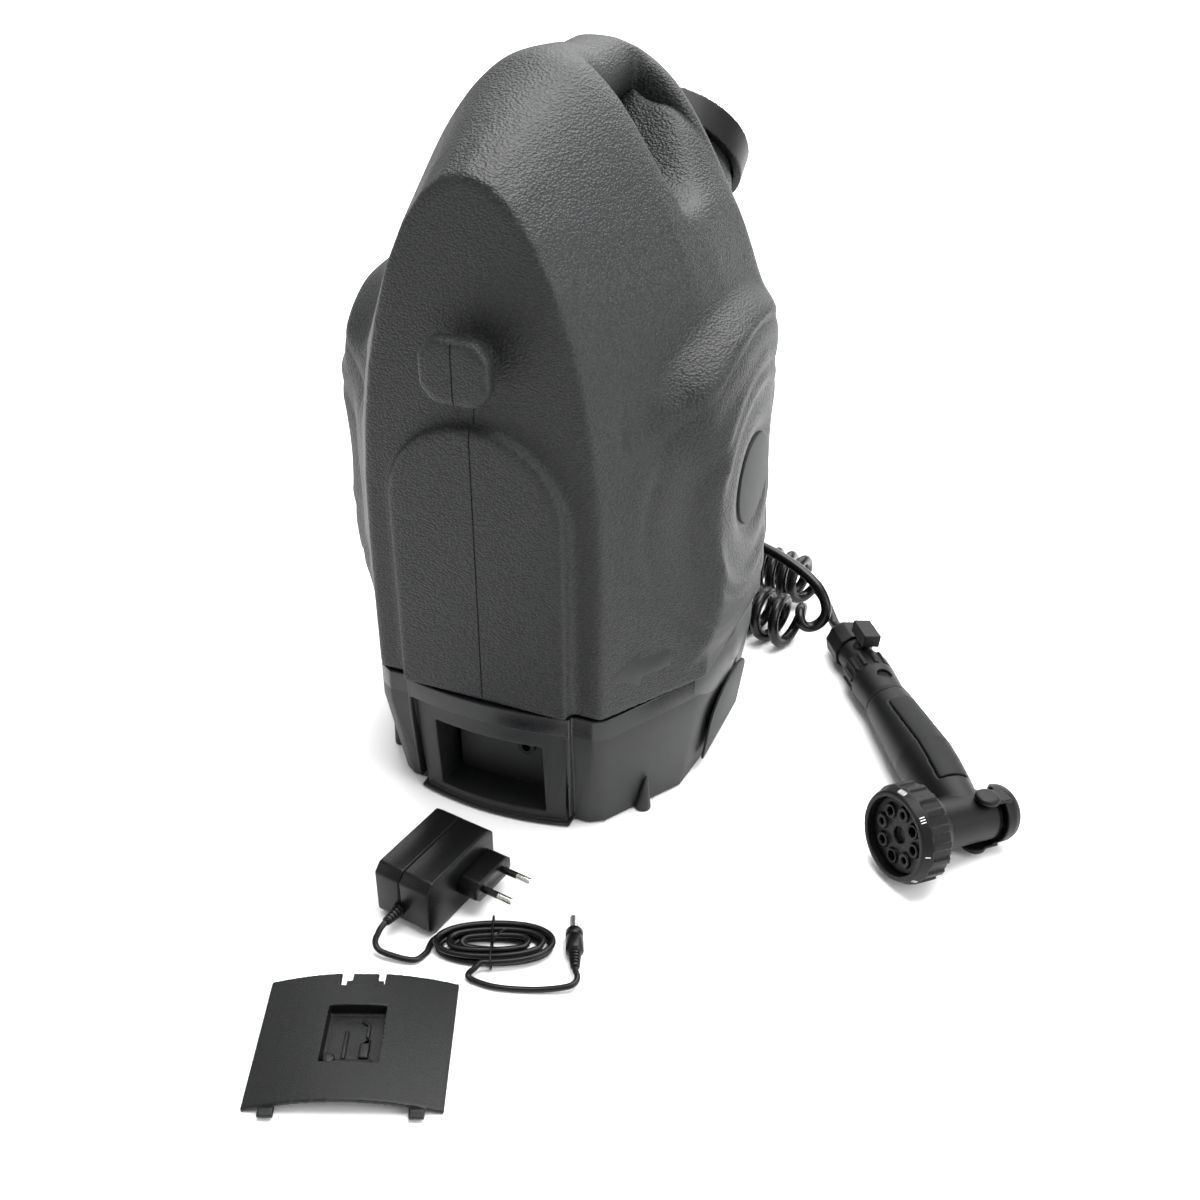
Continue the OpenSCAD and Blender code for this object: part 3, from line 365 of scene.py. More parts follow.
hose_run = relaxed(hose_run, 9.0, 1.5, 40)
hose_finish = moulded(
    "hose_polyurethane", (0.0025, 0.0026, 0.0028), 0.24, 1500, 0.00002, specular=0.24)
hose_piece = round_cord("curly_hose", hose_run, HOSE_D, hose_finish)
stands_for(hose_piece, "base", "hose_skin", "hose")


# The charger's cord: thin black twin flex, 3.4 mm through. It comes out of the
# charger's boot, is folded into a tied hank and runs on to the small round plug.
CORD_D = 3.4
CHARGER_AT = Vector((36, -189, 0))
CHARGER_TURN = math.radians(-9.3)
BOOT_TIP = Vector((-34, -55.35, 12))
HANK_AT = Vector((51, -222.5, 0))
HANK_TURN = math.radians(23)
HANK_TURNS = 5.75
HANK_STEPS = 24
LAY = CORD_D + 0.8
PLUG_TAIL = Vector((100.5, -222, 5.2))
PLUG_DIR = Vector((-15.5, 34, 0)).normalized()


def by_charger(place):
    """A place in the charger's own frame, on the floor."""
    return CHARGER_AT + Matrix.Rotation(CHARGER_TURN, 3, "Z") @ Vector(place)


def by_hank(place):
    """A place in the hank's own frame, on the floor."""
    return HANK_AT + Matrix.Rotation(HANK_TURN, 3, "Z") @ Vector(place)


hank_run = []
for i in range(int(HANK_STEPS * HANK_TURNS) + 1):
    u = i / HANK_STEPS
    t = math.radians(180 - 360 * u)
    k = abs(u - HANK_TURNS / 2)
    up = eased((u - HANK_TURNS / 2) * 1.4 + 0.5)
    waist = 1 - 0.08 * abs(math.sin(t)) ** 3
    hank_run.append(by_hank((
        (20 + (LAY + 0.9) * k) * math.cos(t),
        (3 + (LAY + 0.6) * k) * waist * math.sin(t),
        CORD_D / 2 + 0.1 + LAY * up,
    )))
hank_in = (hank_run[1] - hank_run[0]).normalized()
hank_out = (hank_run[-1] - hank_run[-2]).normalized()
boot_tip = by_charger(BOOT_TIP)
boot_dir = (by_charger((0, -1, 0)) - by_charger((0, 0, 0))).normalized()
lead_to = hank_run[0] - 0.3 * hank_in
lead_run = [boot_tip] + smooth_run([
    boot_tip + 1 * boot_dir, boot_tip + 6 * boot_dir - Vector((0, 0, 2)),
    boot_tip + Vector((1, -13, 5 - boot_tip.z)),
    lead_to - 9 * hank_in + Vector((-5, -4, 0.8)), lead_to - 5 * hank_in, lead_to - 1 * hank_in,
], 10)
tail_from = hank_run[-1] + 0.3 * hank_out
tail_to = PLUG_TAIL - 0.35 * PLUG_DIR
tail_run = smooth_run([
    tail_from + 1 * hank_out, tail_from + 5 * hank_out,
    tail_from + 11 * hank_out + Vector((2, -4, -2.5)), (45, -247.5, CORD_D / 2 + 0.2),
    (64, -248.5, CORD_D / 2 + 0.2), (88, -241, CORD_D / 2 + 0.4),
    PLUG_TAIL - 11 * PLUG_DIR - Vector((0, 0, 0.6)), tail_to - 1 * PLUG_DIR,
], 10) + [tail_to]
cord_run = relaxed(lead_run + smooth_run(hank_run, 2) + tail_run, 4.2, 1.0, 60)
cord_finish = moulded(
    "cord_vinyl", (0.0032, 0.0032, 0.0035), 0.32, 1800, 0.00002, specular=0.24)
cord_piece = round_cord("charger_cord", cord_run, CORD_D, cord_finish)
stands_for(cord_piece, "charger", "hose_skin", "cord_lead", "cord_hank", "cord_tail")


# The ends of that cord: a ribbed vinyl boot at the charger and a small round plug with
# a ribbed tail, both moulded onto the cord. A twist of black wire ties the hank.
def settle(piece, place):
    """The piece moved into its place, with its origin left at nought."""
    piece.matrix_world = place
    pick_only(piece)
    bpy.ops.object.transform_apply(location=True, rotation=True, scale=True)


def turned_piece(name, profile, place, sides=40):
    """A round piece drawn out of a disc, step by step, along its own axis."""
    radius, height = profile[0]
    bpy.ops.object.select_all(action="DESELECT")
    bpy.ops.mesh.primitive_circle_add(vertices=sides, radius=radius * MM, fill_type="NGON")
    piece = bpy.context.object
    piece.name = name
    bpy.ops.object.mode_set(mode="EDIT")
    bpy.ops.mesh.select_all(action="SELECT")
    bpy.ops.transform.translate(value=(0, 0, height * MM))
    for (r0, z0), (r1, z1) in zip(profile, profile[1:]):
        bpy.ops.mesh.extrude_region_move(
            TRANSFORM_OT_translate={"value": (0, 0, (z1 - z0) * MM)})
        bpy.ops.transform.resize(
            value=(r1 / r0, r1 / r0, 1), center_override=(0, 0, z1 * MM))
    bpy.ops.mesh.select_all(action="SELECT")
    bpy.ops.mesh.normals_make_consistent(inside=False)
    bpy.ops.object.mode_set(mode="OBJECT")
    settle(piece, place)
    bpy.ops.object.shade_smooth_by_angle(angle=math.radians(50))
    return piece


def ribs(r0, z0, r1, z1, count, depth):
    """Grooves in a taper, as points of a profile."""
    points = []
    for i in range(count):
        for part, cut in ((0.06, 0), (0.5, 0), (0.62, depth), (0.88, depth), (0.98, 0)):
            t = (i + part) / count
            points.append((r0 + (r1 - r0) * t - cut, z0 + (z1 - z0) * t))
    return points


along_boot = (
    Matrix.Translation(by_charger((-34, -42.95, 12)) * MM)
    @ Matrix.Rotation(CHARGER_TURN, 4, "Z") @ Matrix.Rotation(math.radians(90), 4, "X")
)
along_plug = (
    Matrix.Translation(PLUG_TAIL * MM) @ PLUG_DIR.to_track_quat("Z", "Y").to_matrix().to_4x4()
)
# Radius and height of each step, from the case outwards and from the tail forwards.
BOOT = [(3.6, 0), (3.9, 0.2)] + ribs(3.9, 0.8, 2.5, 11.6, 5, 0.7) + [(2.3, 11.9), (1.8, 12.1)]
PLUG = [(1.9, 0), (2.5, 0.2)] + ribs(2.6, 0.6, 3.7, 10.4, 5, 0.7) + [
    (3.9, 10.8), (4.7, 11.3), (5, 11.9), (5, 21), (4.8, 21.4), (4.4, 21.8), (4.4, 22.6),
    (4.8, 23), (4.9, 23.4), (4.9, 26.2), (4.6, 26.8), (4.0, 27),
]
for name, node, profile, place in (
    ("cord_boot", "strain_relief", BOOT, along_boot),
    ("dc_plug_skin", "dc_plug", PLUG, along_plug),
):
    end = turned_piece(name, profile, place)
    end.data.materials.append(cord_finish)
    stands_for(end, "charger", "rubber", node)
lengths_along(cord_run)[-1] * MM

TIE_HALF, TIE_TOP, TIE_R, TIE_TAIL = 18.2, 9.9, 0.55, 20
TWIST_STEPS, TWISTED = 60, 46


def tie_tail(phase):
    """One end of the wire, twisted round the other."""
    lean = Vector((5, -9, 15)).normalized()
    side = lean.cross(Vector((1, 0, 0))).normalized()
    third = lean.cross(side)
    points = []
    for i in range(TWIST_STEPS + 1):
        t = math.radians(30 * min(i, TWISTED)) + phase
        open_end = 0.62 + 2.4 * eased((i - TWISTED) / 14)
        points.append(
            Vector((0, -3, TIE_TOP)) + lean * TIE_TAIL * i / TWIST_STEPS
            + open_end * (math.cos(t) * side + math.sin(t) * third)
        )
    return points


tie_loop = smooth_run([
    (0, -2, TIE_TOP), (0, -10, TIE_TOP - 0.2), (0, -16.6, TIE_TOP - 1.6), (0, -TIE_HALF, 5),
    (0, -16.6, 1.4), (0, -10, 0.75), (0, 0, 0.7), (0, 10, 0.75), (0, 16.6, 1.4),
    (0, TIE_HALF, 5), (0, 16.6, TIE_TOP - 1.6), (0, 10, TIE_TOP - 0.2), (0, 2, TIE_TOP),
], 4)
tie_run = tie_tail(0)[::-1] + tie_loop[::-1][3:-3] + tie_tail(math.pi)
tie = round_cord(
    "hank_tie_wire", [by_hank(place) for place in tie_run], 2 * TIE_R, cord_finish, 2)
pick_only(tie)
bpy.ops.object.convert(target="MESH")
tie = bpy.context.object
stands_for(tie, "charger", "rubber", "hank_tie")


# The base: an injection moulded housing in satin black, with the open battery bay in
# its end. Its corners are broken by a millimetre, as the tool was polished.
def clean_copy(node, name):
    """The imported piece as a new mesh, its corners joined up."""
    piece = bpy.data.objects.new(name, nodes[node].data.copy())
    bpy.context.scene.collection.objects.link(piece)
    piece.data.materials.clear()
    pick_only(piece)
    bpy.ops.mesh.customdata_custom_splitnormals_clear()
    bpy.ops.object.mode_set(mode="EDIT")
    bpy.ops.mesh.select_all(action="SELECT")
    bpy.ops.mesh.remove_doubles(threshold=0.00001)
    bpy.ops.object.mode_set(mode="OBJECT")
    return piece


def apply_modifier(piece, kind, **settings):
    """One modifier, set up and applied."""
    change = piece.modifiers.new(kind.lower(), kind)
    for name, value in settings.items():
        setattr(change, name, value)
    pick_only(piece)
    bpy.ops.object.modifier_apply(modifier=change.name)


def smooth_shaded(piece, degrees=40):
    pick_only(piece)
    bpy.ops.object.shade_smooth_by_angle(angle=math.radians(degrees))


def broken_edges(node, name, width, steps=3):
    """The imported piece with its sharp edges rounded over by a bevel."""
    piece = clean_copy(node, name)
    bpy.ops.object.mode_set(mode="EDIT")
    bpy.ops.mesh.select_all(action="SELECT")
    bpy.ops.mesh.dissolve_limited(angle_limit=math.radians(0.6))
    bpy.ops.object.mode_set(mode="OBJECT")
    apply_modifier(
        piece, "BEVEL", width=width * MM, segments=steps, limit_method="ANGLE",
        angle_limit=math.radians(32), use_clamp_overlap=False, miter_outer="MITER_ARC",
    )
    smooth_shaded(piece)
    return piece


def two_tone(finish, mask, colour, roughness):
    """Where mask is one, the finish takes another colour and roughness."""
    tree = finish.node_tree
    shader = tree.nodes["Principled BSDF"]
    for kind, place, value, ends in (
        ("RGBA", "Base Color", (*colour, 1), (6, 7, 2)),
        ("FLOAT", "Roughness", roughness, (2, 3, 0)),
    ):
        first, second, result = ends
        change = tree.nodes.new("ShaderNodeMix")
        change.data_type = kind
        tree.links.new(shader.inputs[place].links[0].from_socket, change.inputs[first])
        change.inputs[second].default_value = value
        tree.links.new(mask, change.inputs[0])
        tree.links.new(change.outputs[result], shader.inputs[place])


# Under the tank the tool was polished in a lip all round. On each broad side a crescent, whose
# lower edge rises towards both ends, is a little glossier and is painted paler as a painted
# highlight.
LIP_FROM = 72.5
CRESCENT_LOW, CRESCENT_RISE, CRESCENT_MID, CRESCENT_OUT = 54, 0.0062, 4, 106
base_finish = moulded(
    "base_satin_black", (0.0085, 0.009, 0.0095), 0.46, 2200, 0.00004, specular=0.34)
base_tree = base_finish.node_tree
base_place = base_tree.nodes.new("ShaderNodeTexCoord")
base_axes = base_tree.nodes.new("ShaderNodeSeparateXYZ")
base_tree.links.new(base_place.outputs["Object"], base_axes.inputs[0])
bx, by, bz = base_axes.outputs
from_middle = worked_out(base_tree, "SUBTRACT", by, CRESCENT_MID * MM)
bowl = worked_out(base_tree, "MULTIPLY", from_middle, from_middle)
edge = worked_out(base_tree, "MULTIPLY_ADD", bowl, CRESCENT_RISE / MM, CRESCENT_LOW * MM)
above = worked_out(base_tree, "GREATER_THAN", worked_out(base_tree, "SUBTRACT", bz, edge), 0.0)
from_axis = worked_out(base_tree, "ABSOLUTE", bx)
on_side = worked_out(base_tree, "GREATER_THAN", from_axis, CRESCENT_OUT * MM)
crescent_highlight_mask = worked_out(base_tree, "MULTIPLY", on_side, above)
in_lip = worked_out(base_tree, "GREATER_THAN", bz, LIP_FROM * MM)
two_tone(base_finish, in_lip, (0.0075, 0.008, 0.009), 0.24)
# The crescent's paler colour is a painted highlight; its lower roughness is the finish's own.
two_tone(base_finish, crescent_highlight_mask, (0.030, 0.031, 0.032), 0.36)
base = broken_edges("base_housing", "base_housing_skin", 0.9)
for vertex in base.data.vertices:
    vertex.co.z = max(vertex.co.z, 0)
base.data.materials.append(base_finish)
stands_for(base, "base", "base", "base_housing")


# A small half round foot is moulded into each chamfered wall, tapering out upwards and
# leaning out with the wall.
FOOT_AT = Vector((83.8, -80.3, 0.4))
FOOT_TALL = 27
FOOT_R = 5.2
FOOT_TIP_R = 0.6
FOOT_LEAN = math.radians(8)
for sx in (1, -1):
    for sy in (1, -1):
        bpy.ops.object.select_all(action="DESELECT")
        bpy.ops.mesh.primitive_cone_add(
            vertices=32, radius1=FOOT_R * MM, radius2=FOOT_TIP_R * MM, depth=FOOT_TALL * MM,
            location=(0, 0, FOOT_TALL / 2 * MM),
        )
        foot = bpy.context.object
        bpy.ops.object.transform_apply(location=True, rotation=True, scale=True)
        foot.name = "base_foot_" + ("near" if sx > 0 else "far") + ("_bay" if sy > 0 else "_back")
        apply_modifier(foot, "BEVEL", width=0.8 * MM, segments=3, limit_method="ANGLE")
        out = Vector((0.84 * sx, -0.542 * sy, 0))
        up = (Vector((0, 0, 1)) + out * math.tan(FOOT_LEAN)).normalized()
        place = Vector((FOOT_AT.x * sx, FOOT_AT.y * sy, FOOT_AT.z)) * MM
        settle(foot, Matrix.Translation(place) @ up.to_track_quat("Z", "Y").to_matrix().to_4x4())
        smooth_shaded(foot)
        foot.data.materials.append(base_finish)
        stands_for(foot, "base", "base")


# The plate on each broad side of the base is a separate satin moulding. It is left
# plain, with a fine raised border.
badge_finish = moulded(
    "badge_satin_grey", (0.013, 0.0137, 0.0145), 0.5, 3000, 0.000015, specular=0.12)
base_badge = broken_edges("base_badges", "base_badge_plates", 0.5)
base_badge.data.materials.append(badge_finish)
stands_for(base_badge, "base", "badge", "base_badges")


# The tank: one blow moulded shell of dark grey polyethylene, with the mould's coarse
# leather grain all over and every corner rounded by the blowing.
NECK_AT = Vector((0, 172, 333))
NECK_TILT = math.radians(-52)
PORT_AT = Vector((-20, 45, 96))
TANK_FACES = 190000
TANK_VOXEL = 2.0
DISC_Z = 197
CREST_R = 98


def plug_of(place, turn, radius, depth):
    """A round plug, leaning back by a turn about X."""
    bpy.ops.mesh.primitive_cylinder_add(
        vertices=96, radius=radius * MM, depth=depth * MM, location=place * MM,
        rotation=(turn, 0, 0),
    )
    return bpy.context.object


def joined(first, others):
    """The others made part of the first piece."""
    pick_only(first)
    for other in others:
        other.select_set(True)
    bpy.ops.object.join()


def keep_outer(piece, name):
    """Of a shell's two closed skins, the one outside."""
    pick_only(piece)
    bpy.ops.object.mode_set(mode="EDIT")
    bpy.ops.mesh.separate(type="LOOSE")
    bpy.ops.object.mode_set(mode="OBJECT")
    parts = sorted(bpy.context.selected_objects, key=lambda o: o.dimensions.length)
    outer = parts.pop()
    for other in parts:
        bpy.data.objects.remove(other)
    outer.name = name
    return outer


def weighted(piece, name, weight_of):
    """A vertex group whose weights come from each point's place."""
    group = piece.vertex_groups.new(name=name)
    for vertex in piece.data.vertices:
        weight = weight_of(vertex.co / MM)
        if weight > 0.01:
            group.add([vertex.index], weight, "REPLACE")
    return group.name


# A second copy, drawn in a little, thickens the wall inwards, so that the remesh leaves
# no pinholes in it.
lining = clean_copy("tank_shell", "tank_lining")
lining.scale = (0.985, 0.985, 1)
bpy.ops.object.transform_apply(location=True, rotation=True, scale=True)
tank = clean_copy("tank_shell", "tank_skin")
neck_axis = Matrix.Rotation(NECK_TILT, 3, "X") @ Vector((0, 0, 1))
joined(tank, [
    lining, plug_of(NECK_AT - 25 * neck_axis, NECK_TILT, 41, 44),
    plug_of(PORT_AT + Vector((0, 0, 6.5)), 0, 12, 4),
])
apply_modifier(tank, "REMESH", mode="VOXEL", voxel_size=TANK_VOXEL * MM)
tank = keep_outer(tank, "tank_skin")
apply_modifier(tank, "SMOOTH", factor=0.5, iterations=8)
INWARD, DOWNWARD, ENDWARD = (-1, 0, 0), (0, 0, -1), (0, 1, 0)


def hit_on_tank(start, ray):
    """Where a ray first meets the tank, in millimetres, or nought if it misses."""
    struck, point, _, _ = tank.ray_cast(Vector(start) * MM, Vector(ray))
    return [along / MM if struck else 0.0 for along in point]


def within(value, low, rise, high, fall):
    """One between two limits, fading to nought over a rise and a fall."""
    return eased((value - low) / rise) * eased((high - value) / fall)


# The bulge round the badge ends upwards in a round shoulder, which runs out into the
# wall towards the end panel. Three heights of the wall give its lean and its plateau.
LEAN_HIGH, LEAN_LOW, PLATEAU = 326, 303, 284
BULGE_LOW, BULGE_HIGH, BULGE_BACK, BULGE_FRONT, BULGE_IN = 236, 330, -104, 88, 56
ROWS_FROM, ROWS_TO, ROW_STEP = -110, 90, 2
wall_rows = {
    y: [hit_on_tank((300, y, z), INWARD)[0] for z in (LEAN_HIGH, LEAN_LOW, PLATEAU)]
    for y in range(ROWS_FROM, ROWS_TO + 1, ROW_STEP)
}


def wall_row(y):
    """How far out the broad wall stands at those three heights."""
    low = min(max(ROW_STEP * math.floor(y / ROW_STEP), ROWS_FROM), ROWS_TO - ROW_STEP)
    part = min(max((y - low) / ROW_STEP, 0), 1)
    return [a + (b - a) * part for a, b in zip(wall_rows[low], wall_rows[low + ROW_STEP])]


for vertex in tank.data.vertices:
    x, y, z = vertex.co / MM
    reach = math.hypot(y, z - DISC_Z)
    if (
        abs(x) > BULGE_IN and BULGE_LOW < z < BULGE_HIGH and BULGE_BACK < y < BULGE_FRONT
        and reach > CREST_R - 20
    ):
        high, mid, plateau = wall_row(y)
        lean = (mid - high) / (LEAN_HIGH - LEAN_LOW)
        plain = min(mid + lean * (LEAN_LOW - z), plateau)
        bulge = min(abs(x), plateau) if z < PLATEAU else plateau - 0.12 * (z - PLATEAU)
        target = plain + (max(bulge, plain) - plain) * (1 - eased((reach - CREST_R + 4) / 17))
        share = within(z, BULGE_LOW, 24, BULGE_HIGH, 12) * eased((abs(x) - BULGE_IN) / 16)
        share *= within(y, BULGE_BACK, 14, BULGE_FRONT, 14)
        vertex.co.x = math.copysign(abs(x) + (target - abs(x)) * share, x) * MM


# Under the bar and beside it the floor of the hand hole climbs as a ramp to the neck's
# shoulder, and ends where the shoulder's own surface would have passed.
RAMP_END, RAMP_TOP, RAMP_RUN = 55, 399, 0.82
SHOULDER_Y, OVER_TANK = 58, 500
shoulder_z = [hit_on_tank((x, SHOULDER_Y, OVER_TANK), DOWNWARD)[2] for x in range(0, 111, 2)]
for vertex in tank.data.vertices:
    x, y, z = vertex.co / MM
    inner = vertex.normal.z > 0.25 or vertex.normal.y < -0.3
    if abs(x) < 108 and -10 < y < 56 and z > 338 and inner:
        row = math.floor(abs(x) / 2)
        own = shoulder_z[row] + (shoulder_z[row + 1] - shoulder_z[row]) * (abs(x) - 2 * row) / 2
        target = min(RAMP_TOP - (RAMP_END - y) / RAMP_RUN, own - 1)
        vertex.co.z = max(z, target) * MM


# From the end panel to the bar the crown is one arch: where the solid dips, it is filled
# up to the line over the dip, and a little beyond. The bar itself lies a little lower.
CROWN_FROM, CROWN_TO, CROWN_LIFT, BAR_LOWER = -104, 12, 2.6, 2.4
crown = [
    (y, hit_on_tank((0, y, OVER_TANK), DOWNWARD)[2]) for y in range(CROWN_FROM, CROWN_TO + 1, 2)
]
arch = []
for place in crown:
    while len(arch) > 1 and (
        (arch[-1][1] - arch[-2][1]) * (place[0] - arch[-2][0])
        <= (place[1] - arch[-2][1]) * (arch[-1][0] - arch[-2][0])
    ):
        arch.pop()
    arch.append(place)


def height_on(line, y):
    """The height of a line of points at one place along it."""
    for (y0, z0), (y1, z1) in zip(line, line[1:]):
        if y <= y1:
            return z0 + (z1 - z0) * (y - y0) / (y1 - y0)
    return line[-1][1]


dip_at = max(crown, key=lambda place: height_on(arch, place[0]) - place[1])[0]
for vertex in tank.data.vertices:
    x, y, z = vertex.co / MM
    if CROWN_FROM < y < CROWN_TO and z > 330:
        top = height_on(crown, y)
        lift = height_on(arch, y) - top + CROWN_LIFT * math.exp(-((y - dip_at) / 20) ** 2)
        share = eased((z - top + 60) / 45) * eased((78 - abs(x)) / 52)
        vertex.co.z += max(lift, 0) * share * MM
    vertex.co.z -= BAR_LOWER * eased((z - 404) / 26) * MM


def on_walls(p):
    """The broad curved walls, clear of the end panels, the seam, the top and the badge."""
    clear = eased((math.hypot(p.y, p.z - DISC_Z) - 38) / 14) * eased((abs(p.x) - 52) / 14)
    return clear * within(p.y, -100, 14, 106, 14) * within(p.z, 97, 12, 338, 16)


def on_scoop(p):
    """The outer edges of the hand hole, clear of the bar."""
    outside = eased((p.z - 322) / 16) * eased((abs(p.x) - 22) / 12)
    return outside * within(p.y, -64, 20, 104, 20)


def on_pads(p):
    """The raised arch and the cleat on the end panel."""
    on_end = eased((-96 - p.y) / 6) * eased((62 - abs(p.x)) / 5)
    return on_end * within(p.z, 93, 8, 330, 12)


def on_crest_end(p):
    """Where the round shoulder meets the wall's bend, on the neck's side."""
    high = within(p.z, 256, 10, 314, 10)
    return high * eased((abs(p.x) - 60) / 10) * within(p.y, 36, 10, 88, 10)


def on_ramp(p):
    """The ramp under the bar and beside it, clear of the bar itself."""
    off_bar = max(eased((abs(p.x) - 20) / 9), eased((384 - p.z) / 8)) * eased((112 - abs(p.x)) / 8)
    return off_bar * eased((p.z - 334) / 12) * within(p.y, -16, 12, 72, 14)


def on_bar_root(p):
    """Where the bar grows out of the end panel's top."""
    return eased((p.z - 362) / 14) * within(p.y, -96, 14, 6, 16)


for name, weight_of, rounds in (
    ("broad_walls", on_walls, 26), ("hand_hole_edges", on_scoop, 9), ("end_pads", on_pads, 10),
    ("crest_ends", on_crest_end, 70), ("ramps", on_ramp, 110), ("bar_root", on_bar_root, 70),
):
    group = weighted(tank, name, weight_of)
    apply_modifier(tank, "SMOOTH", factor=0.5, iterations=rounds, vertex_group=group)

# Crests of the ripples round each badge, raised again after the walls are smooth. Each
# has its radius, its width and its height.
RIPPLES = ((62, 6, 1.4), (82, 11, -2.0), (100, 7, 2.2))
for vertex in tank.data.vertices:
    x, y, z = vertex.co / MM
    if abs(x) > 62 and z > 98 and -110 < y < 100:
        reach = math.hypot(y, z - DISC_Z)
        lift = sum(h * math.exp(-((reach - r) / w) ** 2) for r, w, h in RIPPLES)
        upward = 0.35 + 0.65 * eased(0.5 + (z - DISC_Z) / 120)
        fade = eased((z - 98) / 25) * eased((abs(x) - 62) / 15) * eased((110 + y) / 20)
        vertex.co.x += math.copysign(lift * fade * (upward if reach > 90 else 1) * MM, x)

bore = plug_of(NECK_AT - 45 * neck_axis, NECK_TILT, 39, 92)
apply_modifier(tank, "BOOLEAN", operation="DIFFERENCE", object=bore, solver="EXACT")
bpy.data.objects.remove(bore)

# The mould's two halves meet in a fine line down the raised panel and the cleat.
LINE_HALF, LINE_DEEP = 0.45, 0.6


def extruded(name, corners, push):
    """A solid: a flat outline of corners, pushed along, all in millimetres."""
    bpy.ops.object.select_all(action="DESELECT")
    bpy.ops.mesh.primitive_circle_add(vertices=len(corners), radius=0.01, fill_type="NGON")
    piece = bpy.context.object
    piece.name = name
    for vertex, corner in zip(piece.data.vertices, corners):
        vertex.co = [along * MM for along in corner]
    bpy.ops.object.mode_set(mode="EDIT")
    bpy.ops.mesh.select_all(action="SELECT")
    bpy.ops.mesh.extrude_region_move(
        TRANSFORM_OT_translate={"value": [along * MM for along in push]})
    bpy.ops.mesh.select_all(action="SELECT")
    bpy.ops.mesh.normals_make_consistent(inside=False)
    bpy.ops.object.mode_set(mode="OBJECT")
    return piece


line_rows = [(hit_on_tank((0, -300, z), ENDWARD)[1], z) for z in range(90, 318, 3)]
groove = [(-LINE_HALF, y + LINE_DEEP, z) for y, z in line_rows if y]
groove += [(-LINE_HALF, y - 4, z) for y, z in line_rows[::-1] if y]
cutter = extruded("parting_line", groove, (2 * LINE_HALF, 0, 0))
apply_modifier(tank, "BOOLEAN", operation="DIFFERENCE", object=cutter, solver="EXACT")
bpy.data.objects.remove(cutter)
tank.data.calc_loop_triangles()
apply_modifier(tank, "DECIMATE", ratio=min(1, TANK_FACES / len(tank.data.loop_triangles)))
smooth_shaded(tank, 55)
# The tank's grain pits are painted strongly darker, as painted shade.
tank_finish = moulded(
    "tank_polyethylene", (0.0118, 0.0126, 0.0134), 0.50, 640, 0.00036, specular=0.34, painted_pit_shade=0.5,
)
tank.data.materials.append(tank_finish)
stands_for(tank, "tank", "tank", "tank_shell")


# The lock arrow: a smooth raised arrow on the chamfered wall, pointing to the bay end.
def flat_plate(name, outline, thickness, place):
    """A thin plate cut to an outline, its rim rounded, laid in a given frame."""
    piece = extruded(name, [(u, v, 0) for u, v in outline], (0, 0, thickness))
    apply_modifier(
        piece, "BEVEL", width=thickness * 0.45 * MM, segments=3, limit_method="ANGLE",
        angle_limit=math.radians(50), use_clamp_overlap=False,
    )
    smooth_shaded(piece, 30)
    settle(piece, place)
    return piece


def facing(normal, up, at):
    """A frame at a point: its Z along normal, its Y as near to up as it can be."""
    z = Vector(normal).normalized()
    x = Vector(up).cross(z).normalized()
    y = z.cross(x)
    return Matrix.Translation(Vector(at) * MM) @ Matrix((x, y, z)).transposed().to_4x4()


ARROW = ((69, 114), (48, 102), (48, 108), (27, 108), (27, 120), (48, 120), (48, 126))
ARROW_Z = 114
arrow_finish = moulded("arrow_smooth", (0.011, 0.0115, 0.012), 0.4, 1800, 0.00003, specular=0.3)
for side, label in ((1, "near"), (-1, "far")):
    wall = Vector((side * 63.5, -41, 0)).normalized()
    outline = [(-side * s, z - ARROW_Z) for s, z in ARROW]
    arrow = flat_plate(
        "lock_arrow_" + label, outline if side > 0 else outline[::-1], 0.9,
        facing(wall, (0, 0, 1), Vector((side * 112, -53, ARROW_Z)) - 0.55 * wall),
    )
    arrow.data.materials.append(arrow_finish)
    stands_for(arrow, "tank", "tank")


# The round badge in the middle of each disc: a smooth satin plate, left plain.
tank_badge = broken_edges("tank_badges", "tank_badge_plates", 0.5)
tank_badge.data.materials.append(badge_finish)
stands_for(tank_badge, "tank", "badge", "tank_badges")


# The filler cap: a wide screw cap, injection moulded, with a rounded rim and a shallow
# recess in its top.
def eased_copy(node, name, voxel, passes):
    """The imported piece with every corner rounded, as a soft moulding has them."""
    piece = clean_copy(node, name)
    apply_modifier(piece, "REMESH", mode="VOXEL", voxel_size=voxel * MM)
    apply_modifier(piece, "SMOOTH", factor=0.5, iterations=passes)
    smooth_shaded(piece, 50)
    return piece


fitting_finish = moulded(
    "fitting_satin_black", (0.0030, 0.0031, 0.0034), 0.42, 2600, 0.00003, specular=0.17)
cap = eased_copy("filler_cap", "filler_cap_skin", 1.0, 3)
cap.data.materials.append(fitting_finish)
stands_for(cap, "cap", "fitting", "filler_cap")


